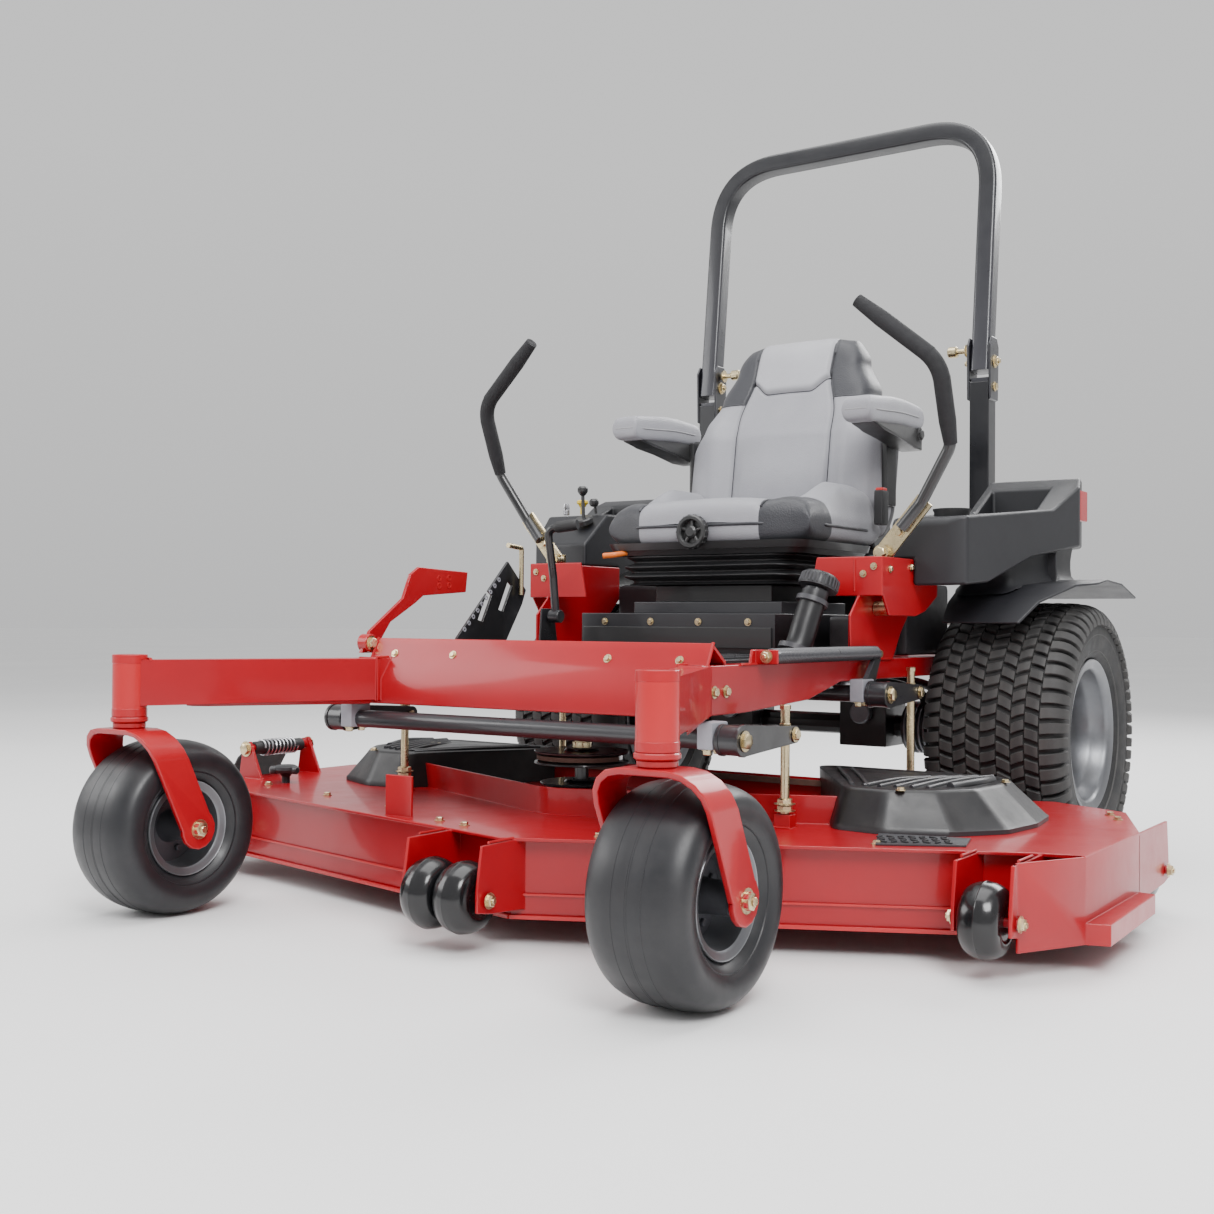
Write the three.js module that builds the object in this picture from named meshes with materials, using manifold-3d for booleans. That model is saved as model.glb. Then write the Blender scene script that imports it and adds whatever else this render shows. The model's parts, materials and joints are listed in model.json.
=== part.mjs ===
// Zero turn mower with a side discharge deck and a folding roll bar.
// Millimetres. +X is the operator's left, -Y the front, +Z up, and z = 0 is the ground.

import * as THREE from 'three';
import { mergeVertices } from 'three/addons/utils/BufferGeometryUtils.js';
import Module from 'manifold-3d';

const wasm = await Module();
wasm.setup();

// ---------------------------------------------------------------- driving dimensions

const GAP = 0.3; // clearance between touching pieces

const CASTER = { x: 567.5, y: -1011, trail: 82, radius: 160, width: 164, tubeRadius: 30 };
const CASTER_AXLE = { y: CASTER.y + CASTER.trail, z: CASTER.radius };
const SPINDLE_TUBE = { bottom: 366, top: 478, bore: 16 };
const FORK = { half: 96, strap: 10, width: 74, crown: 345 };

const DRIVE = { x: 567, y: 590, radius: 297, width: 300, rimRadius: 152 };

const RAIL = { inner: 345, outer: 395, front: -600, rear: 820, bottom: 385, top: 470 };
const ENGINE_SEAT = 466;
const HAT = {
  half: 387, front: -590, sill: 380, fold: 428, ridgeY: -551, ridge: 509, back: -505, backZ: 477,
};

const DECK = { bottom: 45, top: 183, sheet: 5 };
const BLADE = { radius: 311, width: 64, z: 60 };
const SPINDLES = { left: [624, -155], centre: [20, -418], right: [-584, -155] };
const PULLEY = { radius: 80, low: 212, high: 236, mainLow: 272, mainHigh: 296, mainRadius: 92 };
const ROLLER = { radius: 60, width: 66, z: 91 };

const LIFT = {
  frontY: -592, frontZ: 348, frontArm: 188, rearY: 5, rearZ: 402, rearArm: 158,
  armX: 450, shaftRadius: 17, rodRadius: 8,
};

const PLATFORM = { frontY: -45, half: 243, bottom: 478, top: 563, rear: 430 };
const POD = { inner: 391, outer: 446, front: 22, rear: 320, top: 680, bottom: 600, plate: 6 };
const CONSOLE = { front: 178, inner: 398, outer: 672, rear: 760, low: 600, high: 900 };

const LEVER = { x: 420, y: 100, hubZ: 575, swingZ: 690, tube: 12.5, grip: 17 };

const SEAT = { half: 262, front: 42, rear: 470, bottom: 700, top: 815 };
const ROLL = { x: 386, y: 763, hingeZ: 1190, top: 1825, postTop: 1140, tubeX: 46, tubeY: 50, bend: 170 };
const HOOP_LEAN = 66; // how far the top of the hoop lies behind its hinge

const REAR_END = 1089; // rear guard, as far back as the caster tyres reach forward
const HALF_WIDTH = 1010; // deck skirt flare and discharge chute

// ---------------------------------------------------------------- materials

const paint = (color, roughness, metalness = 0) =>
  new THREE.MeshStandardMaterial({ color, roughness, metalness });

const RED = paint(0xc4161c, 0.3, 0.2);
const BLACK = paint(0x16161a, 0.4, 0.2);
const PLASTIC = paint(0x2c2c32, 0.6);
const RUBBER = paint(0x1c1c1f, 0.85);
const STEEL = paint(0x8d9096, 0.4, 0.9);
const ZINC = paint(0xb9a878, 0.4, 0.8);
const VINYL = paint(0xa9a8ad, 0.6);

// ---------------------------------------------------------------- solid helpers

const vec = (x, y, z) => new THREE.Vector3(x, y, z);

// One closed triangle list with shared corners and its faces pointing out.
function weld(source) {
  const bare = source.clone();
  bare.deleteAttribute('normal');
  bare.deleteAttribute('uv');
  const merged = mergeVertices(bare, 1e-3);
  const place = merged.getAttribute('position');
  const corners = [];
  let volume = 0;
  const [a, b, c] = [vec(), vec(), vec()];
  for (let i = 0; i < merged.index.count; i += 3) {
    const face = [0, 1, 2].map((k) => merged.index.getX(i + k));
    if (new Set(face).size < 3) continue;
    corners.push(...face);
    [a, b, c].forEach((point, k) => point.fromBufferAttribute(place, face[k]));
    volume += a.dot(b.cross(c));
  }
  if (volume < 0) corners.reverse();
  return { vertProperties: Float32Array.from(place.array), triVerts: Uint32Array.from(corners) };
}

function toSolid(geometry) {
  const mesh = new wasm.Mesh({ numProp: 3, ...weld(geometry) });
  return new wasm.Manifold(mesh);
}

function toGeometry(solid) {
  const mesh = solid.getMesh();
  const geometry = new THREE.BufferGeometry();
  geometry.setAttribute('position', new THREE.BufferAttribute(mesh.vertProperties, 3));
  geometry.setIndex(new THREE.BufferAttribute(mesh.triVerts, 1));
  return geometry;
}

function join(...pieces) {
  return toGeometry(pieces.map(toSolid).reduce((sum, next) => sum.add(next)));
}

function cut(base, ...tools) {
  return toGeometry(tools.map(toSolid).reduce((rest, tool) => rest.subtract(tool), toSolid(base)));
}

function box(x0, x1, y0, y1, z0, z1) {
  const shape = new THREE.BoxGeometry(x1 - x0, y1 - y0, z1 - z0);
  return shape.translate((x0 + x1) / 2, (y0 + y1) / 2, (z0 + z1) / 2);
}

// A straight round bar from one point to another.
function rod(from, to, radius, sides = 12, endRadius = radius) {
  const axis = to.clone().sub(from);
  const shape = new THREE.CylinderGeometry(endRadius, radius, axis.length(), sides);
  const turn = new THREE.Quaternion().setFromUnitVectors(vec(0, 1, 0), axis.clone().normalize());
  const middle = from.clone().add(to).multiplyScalar(0.5);
  return shape.applyQuaternion(turn).translate(middle.x, middle.y, middle.z);
}

const rodX = (x0, x1, y, z, radius, sides) => rod(vec(x0, y, z), vec(x1, y, z), radius, sides);
const rodZ = (x, y, z0, z1, radius, sides) => rod(vec(x, y, z0), vec(x, y, z1), radius, sides);

// A square bar of any direction: its width lies across the ground, its height upward.
function beam(from, to, width, height) {
  const along = to.clone().sub(from);
  const shape = new THREE.BoxGeometry(along.length(), width, height);
  const ahead = along.clone().normalize();
  const side = vec(0, 0, 1).cross(ahead).normalize();
  const up = ahead.clone().cross(side);
  shape.applyMatrix4(new THREE.Matrix4().makeBasis(ahead, side, up));
  const middle = from.clone().add(to).multiplyScalar(0.5);
  return shape.translate(middle.x, middle.y, middle.z);
}

const outlineShape = (points) => new THREE.Shape(points.map(([u, v]) => new THREE.Vector2(u, v)));

function extrude(points, depth) {
  return new THREE.ExtrudeGeometry(outlineShape(points), { depth, bevelEnabled: false });
}

// A plate seen from above: outline in x and y, from z0 to z1.
const slab = (points, z0, z1) => extrude(points, z1 - z0).translate(0, 0, z0);

// A plate seen from the side: outline in y and z, from x0 to x1.
function sidePlate(points, x0, x1) {
  const turn = new THREE.Matrix4().makeBasis(vec(0, 1, 0), vec(0, 0, 1), vec(1, 0, 0));
  return extrude(points, x1 - x0).applyMatrix4(turn).translate(x0, 0, 0);
}

// A plate seen from the front: outline in x and z, from y0 to y1.
function frontPlate(points, y0, y1) {
  const turn = new THREE.Matrix4().makeBasis(vec(1, 0, 0), vec(0, 0, 1), vec(0, -1, 0));
  return extrude(points, y1 - y0).applyMatrix4(turn).translate(0, y1, 0);
}

// A solid between two outlines of as many corners, one above the other.
function loft(lower, z0, upper, z1) {
  const n = lower.length;
  const points = [...lower.map(([x, y]) => [x, y, z0]), ...upper.map(([x, y]) => [x, y, z1])].flat();
  const caps = THREE.ShapeUtils.triangulateShape(outlineShape(lower).getPoints(), []);
  const faces = caps.flatMap(([a, b, c]) => [c, b, a, n + a, n + b, n + c]);
  for (let i = 0; i < n; i += 1) {
    const next = (i + 1) % n;
    faces.push(i, next, n + next, i, n + next, n + i);
  }
  const shape = new THREE.BufferGeometry();
  shape.setAttribute('position', new THREE.Float32BufferAttribute(points, 3));
  shape.setIndex(faces);
  return shape;
}

// A turned body about X: the profile lists [radius, offset from the centre plane].
// Its facets lie flat on top and underneath, at the stated radius.
function turnedX(profile, x, y, z, sides) {
  const half = Math.PI / sides;
  const points = profile.map(([radius, offset]) => new THREE.Vector2(radius / Math.cos(half), offset));
  const shape = new THREE.LatheGeometry(points, sides, half);
  return shape.rotateZ(-Math.PI / 2).rotateX(Math.PI / 2).translate(x, y, z);
}

// A turned body about Z.
function turnedZ(profile, x, y, sides) {
  const points = profile.map(([radius, height]) => new THREE.Vector2(radius, height));
  return new THREE.LatheGeometry(points, sides).rotateX(Math.PI / 2).translate(x, y, 0);
}

// A polyline whose stations are its own points, for sweeping.
class Bent extends THREE.Curve {
  constructor(points) {
    super();
    this.points = points;
  }

  getPointAt(u, target = vec()) {
    return target.copy(this.points[Math.round(u * (this.points.length - 1))]);
  }

  getTangentAt(u, target = vec()) {
    const at = Math.round(u * (this.points.length - 1));
    const before = this.points[Math.max(at - 1, 0)];
    const after = this.points[Math.min(at + 1, this.points.length - 1)];
    const here = this.points[at];
    const tail = here.clone().sub(before).normalize();
    const head = after.clone().sub(here).normalize();
    return target.copy(tail.add(head)).normalize();
  }
}

// Corners of a path replaced by arcs of the given radius.
function roundCorners(points, radius, steps) {
  const path = [points[0]];
  for (let i = 1; i < points.length - 1; i += 1) {
    const here = points[i];
    const back = points[i - 1].clone().sub(here).normalize();
    const on = points[i + 1].clone().sub(here).normalize();
    const half = back.angleTo(on) / 2;
    const reach = radius / Math.tan(half);
    const centre = here.clone().addScaledVector(back.clone().add(on).normalize(), radius / Math.sin(half));
    const from = here.clone().addScaledVector(back, reach).sub(centre);
    const to = here.clone().addScaledVector(on, reach).sub(centre);
    const sweep = from.angleTo(to);
    for (let k = 0; k <= steps; k += 1) {
      const t = k / steps;
      const a = Math.sin((1 - t) * sweep) / Math.sin(sweep);
      const b = Math.sin(t * sweep) / Math.sin(sweep);
      path.push(centre.clone().addScaledVector(from, a).addScaledVector(to, b));
    }
  }
  path.push(points[points.length - 1]);
  return path;
}

function circle(radius, sides, cx = 0, cy = 0) {
  return Array.from({ length: sides }, (_, k) => {
    const angle = (k * 2 * Math.PI) / sides;
    return [cx + radius * Math.cos(angle), cy + radius * Math.sin(angle)];
  });
}

const rectangle = (w, h) => [[-w / 2, -h / 2], [w / 2, -h / 2], [w / 2, h / 2], [-w / 2, h / 2]];

// A bent bar: a section swept along a path with rounded corners.
function bentBar(corners, section, bend, steps = 3) {
  const points = bend > 0 ? roundCorners(corners, bend, steps) : corners;
  return new THREE.ExtrudeGeometry(outlineShape(section), {
    steps: points.length - 1,
    extrudePath: new Bent(points),
    bevelEnabled: false,
  });
}

// A folded sheet: a polyline given a thickness on its left-hand side.
function sheetOutline(points, thickness) {
  const shifted = points.map((point, i) => {
    const here = new THREE.Vector2(...point);
    const before = new THREE.Vector2(...(points[i - 1] ?? point));
    const after = new THREE.Vector2(...(points[i + 1] ?? point));
    const dirs = [here.clone().sub(before), after.clone().sub(here)].filter((d) => d.length() > 0);
    const normals = dirs.map((d) => new THREE.Vector2(-d.y, d.x).normalize());
    const sum = normals.reduce((a, b) => a.clone().add(b)).normalize();
    const stretch = thickness / sum.dot(normals[0]);
    return [here.x + sum.x * stretch, here.y + sum.y * stretch];
  });
  return [...points, ...shifted.reverse()];
}

// A closed outline moved inward by a distance (outward when negative).
function inset(points, distance) {
  return points.map((point, i) => {
    const n = points.length;
    const before = new THREE.Vector2(...points[(i + n - 1) % n]);
    const here = new THREE.Vector2(...point);
    const after = new THREE.Vector2(...points[(i + 1) % n]);
    const tail = here.clone().sub(before).normalize();
    const head = after.sub(here).normalize();
    const normals = [tail, head].map((d) => new THREE.Vector2(-d.y, d.x));
    const sum = normals[0].clone().add(normals[1]).normalize();
    const stretch = distance / sum.dot(normals[0]);
    return [here.x + sum.x * stretch, here.y + sum.y * stretch];
  });
}

const mirrored = (geometry) => geometry.clone().scale(-1, 1, 1);
const onSide = (side, geometry) => (side > 0 ? geometry : mirrored(geometry));

// Part of a circle as outline points, angles in degrees.
function arc(cx, cy, radius, from, to, steps) {
  return Array.from({ length: steps + 1 }, (_, k) => {
    const angle = THREE.MathUtils.degToRad(from + ((to - from) * k) / steps);
    return [cx + radius * Math.cos(angle), cy + radius * Math.sin(angle)];
  });
}

// ---------------------------------------------------------------- assembly

const mower = new THREE.Group();

function add(name, geometry, material) {
  const welded = weld(geometry);
  const clean = new THREE.BufferGeometry();
  clean.setAttribute('position', new THREE.BufferAttribute(welded.vertProperties, 3));
  clean.setIndex(new THREE.BufferAttribute(welded.triVerts, 1));
  const mesh = new THREE.Mesh(clean, material);
  mesh.name = name;
  mower.add(mesh);
}

const SIDES = [['left', 1], ['right', -1]];

// ---------------------------------------------------------------- main frame

function sideRail() {
  const outline = [
    [RAIL.front, RAIL.bottom], [-450, RAIL.bottom], [-200, 398], [-60, 428],
    [RAIL.rear, 428], [RAIL.rear, RAIL.top], [RAIL.front, RAIL.top],
  ];
  return sidePlate(outline, RAIL.inner, RAIL.outer);
}

function casterArm() {
  const height = RAIL.top - RAIL.bottom - 2;
  const z = (RAIL.top + RAIL.bottom) / 2;
  const arm = beam(vec(CASTER.x, CASTER.y, z), vec(352, -540, z), 56, height);
  const tube = rodZ(CASTER.x, CASTER.y, SPINDLE_TUBE.bottom, SPINDLE_TUBE.top, CASTER.tubeRadius, 20);
  const gussetPlan = [[548, -900], [480, -760], [402, -600], [360, -600]];
  const gusset = slab(gussetPlan, RAIL.bottom - 6, RAIL.bottom + 2);
  const bore = rodZ(CASTER.x, CASTER.y, 300, 460, SPINDLE_TUBE.bore, 12);
  return cut(join(arm, tube, gusset), bore);
}

function hatCrossMember() {
  const { front, sill, fold, ridgeY, ridge, back, backZ } = HAT;
  const path = [[front, sill], [front, fold], [ridgeY, ridge], [back, backZ]];
  return sidePlate(sheetOutline(path, -7), -HAT.half, HAT.half);
}

// The pod beside the seat: an inner plate, a front plate and a chamfered outer plate.
function sidePod() {
  const { inner, outer, front, rear, top, bottom, plate } = POD;
  const inside = [
    [-20, RAIL.top - 4], [-20, 560], [front, bottom], [front, top], [rear, top],
    [rear, bottom], [230, 520], [190, RAIL.top - 4],
  ];
  const outside = [
    [front, 610], [front, top], [rear - 34, top], [rear - 28, 655],
    [rear, 636], [rear, 604], [250, 570], [200, 560], [60, 560],
  ];
  const face = [[285, bottom], [300, top], [outer, top], [outer, bottom]];
  return join(
    sidePlate(inside, inner, inner + plate),
    sidePlate(outside, outer - plate, outer),
    frontPlate(face, front, front + plate),
    box(inner, outer, 250, 256, 575, 640),
  );
}

function springClevis() {
  return join(
    sidePlate([[-430, 465], [-422, 496], [-400, 496], [-375, 465]], 388, 394),
    box(392, 438, -412, -406, 470, 496),
  );
}

function mainFrame() {
  const half = join(sideRail(), casterArm(), sidePod(), springClevis());
  return join(
    half,
    mirrored(half),
    hatCrossMember(),
    box(-RAIL.inner - 5, RAIL.inner + 5, 60, 100, 432, 466),
    box(-RAIL.inner - 5, RAIL.inner + 5, 560, RAIL.rear, ENGINE_SEAT - 10, ENGINE_SEAT),
    box(-RAIL.inner - 5, RAIL.inner + 5, RAIL.rear - 20, RAIL.rear, 432, ENGINE_SEAT),
  );
}

add('main_frame', mainFrame(), RED);

// ---------------------------------------------------------------- casters

const STEM = { radius: SPINDLE_TUBE.bore - 1, top: 455 };

// A strap bent over the tyre, its legs raked back to the axle.
function casterFork() {
  const { half, strap, width, crown } = FORK;
  const bend = 56;
  const outer = [[half, CASTER_AXLE.z], ...arc(half - bend, crown - bend, bend, 0, 90, 4)];
  const left = outer.map(([x, z]) => [-x, z]).reverse();
  const inner = [[half - strap, CASTER_AXLE.z], ...arc(half - bend, crown - bend, bend - strap, 0, 90, 4)];
  const innerLeft = inner.map(([x, z]) => [-x, z]);
  const shape = frontPlate([...outer, ...left, ...innerLeft, ...inner.reverse()], -width / 2, width / 2);
  const pivotZ = crown - strap;
  const rake = -CASTER.trail / (pivotZ - CASTER_AXLE.z);
  const lean = new THREE.Matrix4().set(
    1, 0, 0, 0,
    0, 1, rake, -rake * pivotZ,
    0, 0, 1, 0,
    0, 0, 0, 1,
  );
  shape.applyMatrix4(lean);
  const pieces = [
    shape,
    rodZ(0, 0, crown - 4, SPINDLE_TUBE.bottom - GAP, 24, 12),
    rodZ(0, 0, crown, STEM.top, STEM.radius, 12),
    rodX(-half - 9, half + 9, CASTER.trail, CASTER_AXLE.z, 9, 8),
  ];
  [-1, 1].forEach((s) => {
    const x = s * (half - strap / 2);
    pieces.push(rodX(x - strap / 2, x + strap / 2, CASTER.trail, CASTER_AXLE.z, width / 2, 14));
    pieces.push(rodX(s * half - s, s * (half + 8), CASTER.trail, CASTER_AXLE.z, 14, 6));
  });
  return join(...pieces);
}

function casterTyre() {
  const w = CASTER.width / 2;
  const r = CASTER.radius;
  const half = [[76, w - 23], [88, w - 23], [104, w - 5], [130, w], [151, w - 20], [r, w - 56]];
  const other = half.map(([radius, offset]) => [radius, -offset]).reverse();
  return turnedX([...half, ...other, half[0]], 0, 0, 0, 20);
}

function casterRim() {
  const side = (s) => [[10, 78 * s], [24, 78 * s], [26, 12 * s], [66, 12 * s], [72, 65 * s],
    [85, 65 * s], [85, 60 * s], [75.4, 60 * s]];
  const inner = side(-1);
  const profile = [...side(1), ...inner.reverse(), side(1)[0]];
  return turnedX(profile, 0, 0, 0, 20);
}

for (const [label, side] of SIDES) {
  const x = side * CASTER.x;
  add(`caster_fork_${label}`, casterFork().translate(x, CASTER.y, 0), RED);
  add(`caster_tyre_${label}`, casterTyre().translate(x, CASTER_AXLE.y, CASTER_AXLE.z), RUBBER);
  add(`caster_rim_${label}`, casterRim().translate(x, CASTER_AXLE.y, CASTER_AXLE.z), STEEL);
}

// ---------------------------------------------------------------- drive wheels

function driveTyre() {
  const w = DRIVE.width / 2;
  const r = DRIVE.radius;
  const half = [[153, w - 26], [170, w - 24], [192, w - 4], [230, w], [278, w - 12], [r, w - 52]];
  const other = half.map(([radius, offset]) => [radius, -offset]).reverse();
  return turnedX([...half, ...other, half[0]], 0, 0, 0, 28);
}

function driveRim() {
  const w = DRIVE.width / 2;
  const r = DRIVE.rimRadius;
  const profile = [
    [0, 0], [60, 0], [70, -18], [118, -18], [134, w - 40], [146, w - 20], [168, w - 15],
    [168, w - 20], [r, w - 26], [r, 26 - w], [168, 20 - w], [168, 15 - w], [146, 20 - w],
    [130, -26], [66, -26], [60, -10], [0, -10],
  ];
  return turnedX(profile, 0, 0, 0, 28);
}

for (const [label, side] of SIDES) {
  const place = (shape) => onSide(side, shape.translate(DRIVE.x, DRIVE.y, DRIVE.radius));
  add(`drive_tyre_${label}`, place(driveTyre()), RUBBER);
  add(`drive_rim_${label}`, place(driveRim()), STEEL);
}

// Two wheel motors on one cross axle, with a pump on each side.
function hydroDrive() {
  const pieces = [rodX(-330, 330, DRIVE.y, DRIVE.radius, 26, 10)];
  for (const s of [-1, 1]) {
    pieces.push(rodX(s * 270, s * 470, DRIVE.y, DRIVE.radius, 56, 14));
    pieces.push(rodX(s * 460, s * (DRIVE.x - 12), DRIVE.y, DRIVE.radius, 40, 14));
    pieces.push(box(Math.min(s * 120, s * 240), Math.max(s * 120, s * 240), 520, 640, 250, 372));
    pieces.push(box(Math.min(s * 352, s * 384), Math.max(s * 352, s * 384), 550, 630, 300, 427.5));
  }
  return join(...pieces);
}

add('hydro_drive', hydroDrive(), BLACK);

// ---------------------------------------------------------------- deck

// The front wall runs back on both sides of a nose near the middle blade.
const NOSE = [127, -772];
const FRONT_RIGHT = [-918, -552];
const FRONT_LEFT = [956, -357];
const SKIRT = { x: 974, front: -404, rear: -80, guard: [908, -524] };

const WALL_OUTLINE = [
  NOSE, FRONT_LEFT, [SKIRT.x, FRONT_LEFT[1] + 7], [SKIRT.x, SKIRT.rear], [948, SKIRT.rear],
  ...arc(...SPINDLES.left, 330, 14, 82, 4), ...arc(...SPINDLES.right, 330, 98, 150, 3),
  [-918, 10], FRONT_RIGHT,
];

const LIP_OUTLINE = [
  [NOSE[0], NOSE[1] - 24], [905, -409], [SKIRT.x, SKIRT.front], [SKIRT.x, SKIRT.rear],
  [884, 180], [720, 262], [560, 215], [-520, 215], [-700, 190], [-905, 60], [-930, -80], [-930, -565],
];

const throughDeck = (x, y, radius) => rodZ(x, y, 150, 260, radius, 12);

function beltTub() {
  const reach = 102;
  const outline = [
    ...arc(...SPINDLES.left, reach, -64, 90, 4),
    ...arc(...SPINDLES.right, reach, 90, 244, 4),
    ...arc(...SPINDLES.centre, reach, 244, 296, 3),
  ];
  return cut(slab(outline, DECK.top - 2, 234), slab(inset(outline, 4), DECK.top - 4, 240));
}

// One upright that holds a roller axle; "back" is where it meets the deck wall.
function rollerPlate(x, y, back) {
  const z = ROLLER.z;
  const tip = y < back ? -24 : 24;
  const outline = [
    [y + tip, z - 18], [y - tip / 2, z - 24], [back, z - 30], [back, DECK.top - 3],
    [y + tip / 2, DECK.top - 3], [y + tip, z + 16],
  ];
  return sidePlate(tip < 0 ? outline : outline.reverse(), x - 3, x + 3);
}

const ROLLERS = {
  nose_left: { x: 103, y: -862 },
  nose_right: { x: 32, y: -862 },
  front_left: { x: 860, y: -530 },
  front_right: { x: -860, y: -650 },
  rear_left: { x: 925, y: 112 },
  rear_right: { x: -850, y: 150 },
};

// Uprights of each axle as [x, where it meets the wall], outermost first.
const ROLLER_AXLES = [
  { y: -862, ends: [[146, -757], [-12, -737]] },
  { y: -530, ends: [[905, -376], [815, -420]] },
  { y: -650, ends: [[-815, -564], [-905, -546]] },
  { y: 112, ends: [[970, -90], [880, 46]] },
  { y: 150, ends: [[-805, 84], [-895, 4]] },
];

function deckShell() {
  const shell = cut(
    slab(WALL_OUTLINE, DECK.bottom, DECK.top - 1),
    slab(inset(WALL_OUTLINE, DECK.sheet), DECK.bottom - 5, DECK.top - DECK.sheet),
    box(-960, -880, -380, -90, DECK.bottom - 5, 150),
  );
  const lip = slab(LIP_OUTLINE, DECK.top - 6, DECK.top);
  const brackets = ROLLER_AXLES.flatMap(({ y, ends: [[x0, back0], [x1, back1]] }) => [
    rollerPlate(x0, y, back0),
    rollerPlate(x1, y, back1),
    rodX(x1 - 8, x0 + 8, y, ROLLER.z, 8, 8),
  ]);
  const guard = slab(
    [SKIRT.guard, [SKIRT.x, SKIRT.front], [SKIRT.x, -340], [SKIRT.x - 5, -340],
      [SKIRT.x - 5, SKIRT.front + 1], [SKIRT.guard[0] - 5, SKIRT.guard[1] + 1]],
    DECK.bottom, DECK.top - 1,
  );
  const housings = Object.values(SPINDLES).map(([x, y]) => rodZ(x, y, DECK.top - 4, 206, 46, 14));
  const rods = [];
  for (const s of [-1, 1]) {
    for (const y of [LIFT.frontY + LIFT.frontArm, LIFT.rearY + LIFT.rearArm]) {
      const top = y < 0 ? LIFT.frontZ + 50 : LIFT.rearZ + 50;
      rods.push(rodZ(s * LIFT.armX, y, DECK.top - 3, top, LIFT.rodRadius, 8));
      rods.push(box(s * LIFT.armX - 16, s * LIFT.armX + 16, y - 12, y + 12, DECK.top - 3, DECK.top + 24));
    }
  }
  const stop = box(-222, -158, -706, -700, DECK.top - 3, 258);
  const chuteRod = rod(vec(-900, -432, 249), vec(-900, -258, 249), 9, 10);
  const chuteBracket = (y) => frontPlate(
    [[-925, DECK.top - 3], [-912, 262], [-890, 266], [-850, DECK.top - 3]], y - 4, y + 4,
  );
  const skirtFlare = slab(
    [[974, -404], [HALF_WIDTH, -392], [HALF_WIDTH - 8, -84], [972, -80], [966, -80], [966, -404]],
    DECK.bottom, DECK.bottom + 34,
  );
  const solid = join(
    shell, lip, guard, beltTub(), ...brackets, ...housings, ...rods, stop, chuteRod,
    chuteBracket(-436), chuteBracket(-256), skirtFlare,
  );
  return cut(solid, ...Object.values(SPINDLES).map(([x, y]) => throughDeck(x, y, 18)));
}

add('deck_shell', deckShell(), RED);

for (const [name, { x, y }] of Object.entries(ROLLERS)) {
  const w = ROLLER.width / 2;
  const r = ROLLER.radius;
  const profile = [
    [9, w], [30, w], [48, w - 4], [r - 4, w - 16], [r, 0],
    [r - 4, 16 - w], [48, 4 - w], [30, -w], [9, -w], [9, w],
  ];
  add(`roller_${name}`, turnedX(profile, x, y, ROLLER.z, 16), RUBBER);
}

// Blade, shaft and pulley of one spindle turn together.
function bladeSpindle([x, y], main, turn) {
  const halfWidth = BLADE.width / 2;
  const blade = box(-BLADE.radius, BLADE.radius, -halfWidth, halfWidth, BLADE.z - 4, BLADE.z + 3);
  blade.rotateZ(turn).translate(x, y, 0);
  const { radius, low, high, mainLow, mainHigh, mainRadius } = PULLEY;
  const groove = (r, z0, z1) => [
    [r - 2, z0], [r - 2, z0 + 3], [r - 14, z0 + 8],
    [r - 14, z1 - 8], [r - 2, z1 - 3], [r - 2, z1],
  ];
  const shaft = rodZ(x, y, BLADE.z - 10, (main ? mainHigh : high) + 14, 14, 10);
  const pulley = turnedZ([[0, low], ...groove(radius, low, high), [0, high]], x, y, 16);
  const pieces = [blade, shaft, pulley];
  if (main) {
    pieces.push(turnedZ([[0, mainLow], ...groove(mainRadius, mainLow, mainHigh), [0, mainHigh]], x, y, 20));
  }
  return join(...pieces);
}

add('blade_spindle_left', bladeSpindle(SPINDLES.left, false, 0.5), BLACK);
add('blade_spindle_centre', bladeSpindle(SPINDLES.centre, true, -0.2), BLACK);
add('blade_spindle_right', bladeSpindle(SPINDLES.right, false, -0.6), BLACK);

// The deck belt, a flat loop round the three lower pulleys.
function deckBelt() {
  const around = (r) => [
    ...arc(...SPINDLES.left, r, -64, 90, 7),
    ...arc(...SPINDLES.right, r, 90, 244, 7),
    ...arc(...SPINDLES.centre, r, 244, 296, 3),
  ];
  return cut(slab(around(PULLEY.radius + 10), 218, 230), slab(around(PULLEY.radius + 2), 210, 240));
}

add('deck_belt', deckBelt(), RUBBER);

// A moulded cover over each end of the belt tub, open underneath and inboard.
function beltCover(side) {
  const shift = side > 0 ? 0 : -SPINDLES.right[0] - SPINDLES.left[0];
  const move = (points) => points.map(([x, y]) => [x + shift, y]);
  const lower = move([
    [300, 35], [526, -372], [619, -384], [735, -330],
    [798, -245], [812, -130], [796, -10], [740, 35],
  ]);
  const upper = move([
    [312, 0], [534, -346], [619, -350], [692, -300],
    [738, -232], [748, -130], [738, -48], [700, 0],
  ]);
  const [low, high] = [DECK.top + GAP, 256];
  const along = new THREE.Vector2(lower[1][0] - lower[0][0], lower[1][1] - lower[0][1]).normalize();
  const mouth = [[-14, -30], [-14, 470], [22, 470], [22, -30]].map(([out, on]) => [
    lower[0][0] - along.y * out + along.x * on, lower[0][1] + along.x * out + along.y * on,
  ]);
  const hollow = cut(
    loft(lower, low, upper, high),
    loft(inset(lower, 5), low - 1, inset(upper, 5), high - 5),
    slab(mouth, low - 5, high - 5),
  );
  return onSide(side, hollow);
}

add('belt_cover_left', beltCover(1), PLASTIC);
add('belt_cover_right', beltCover(-1), PLASTIC);

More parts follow.
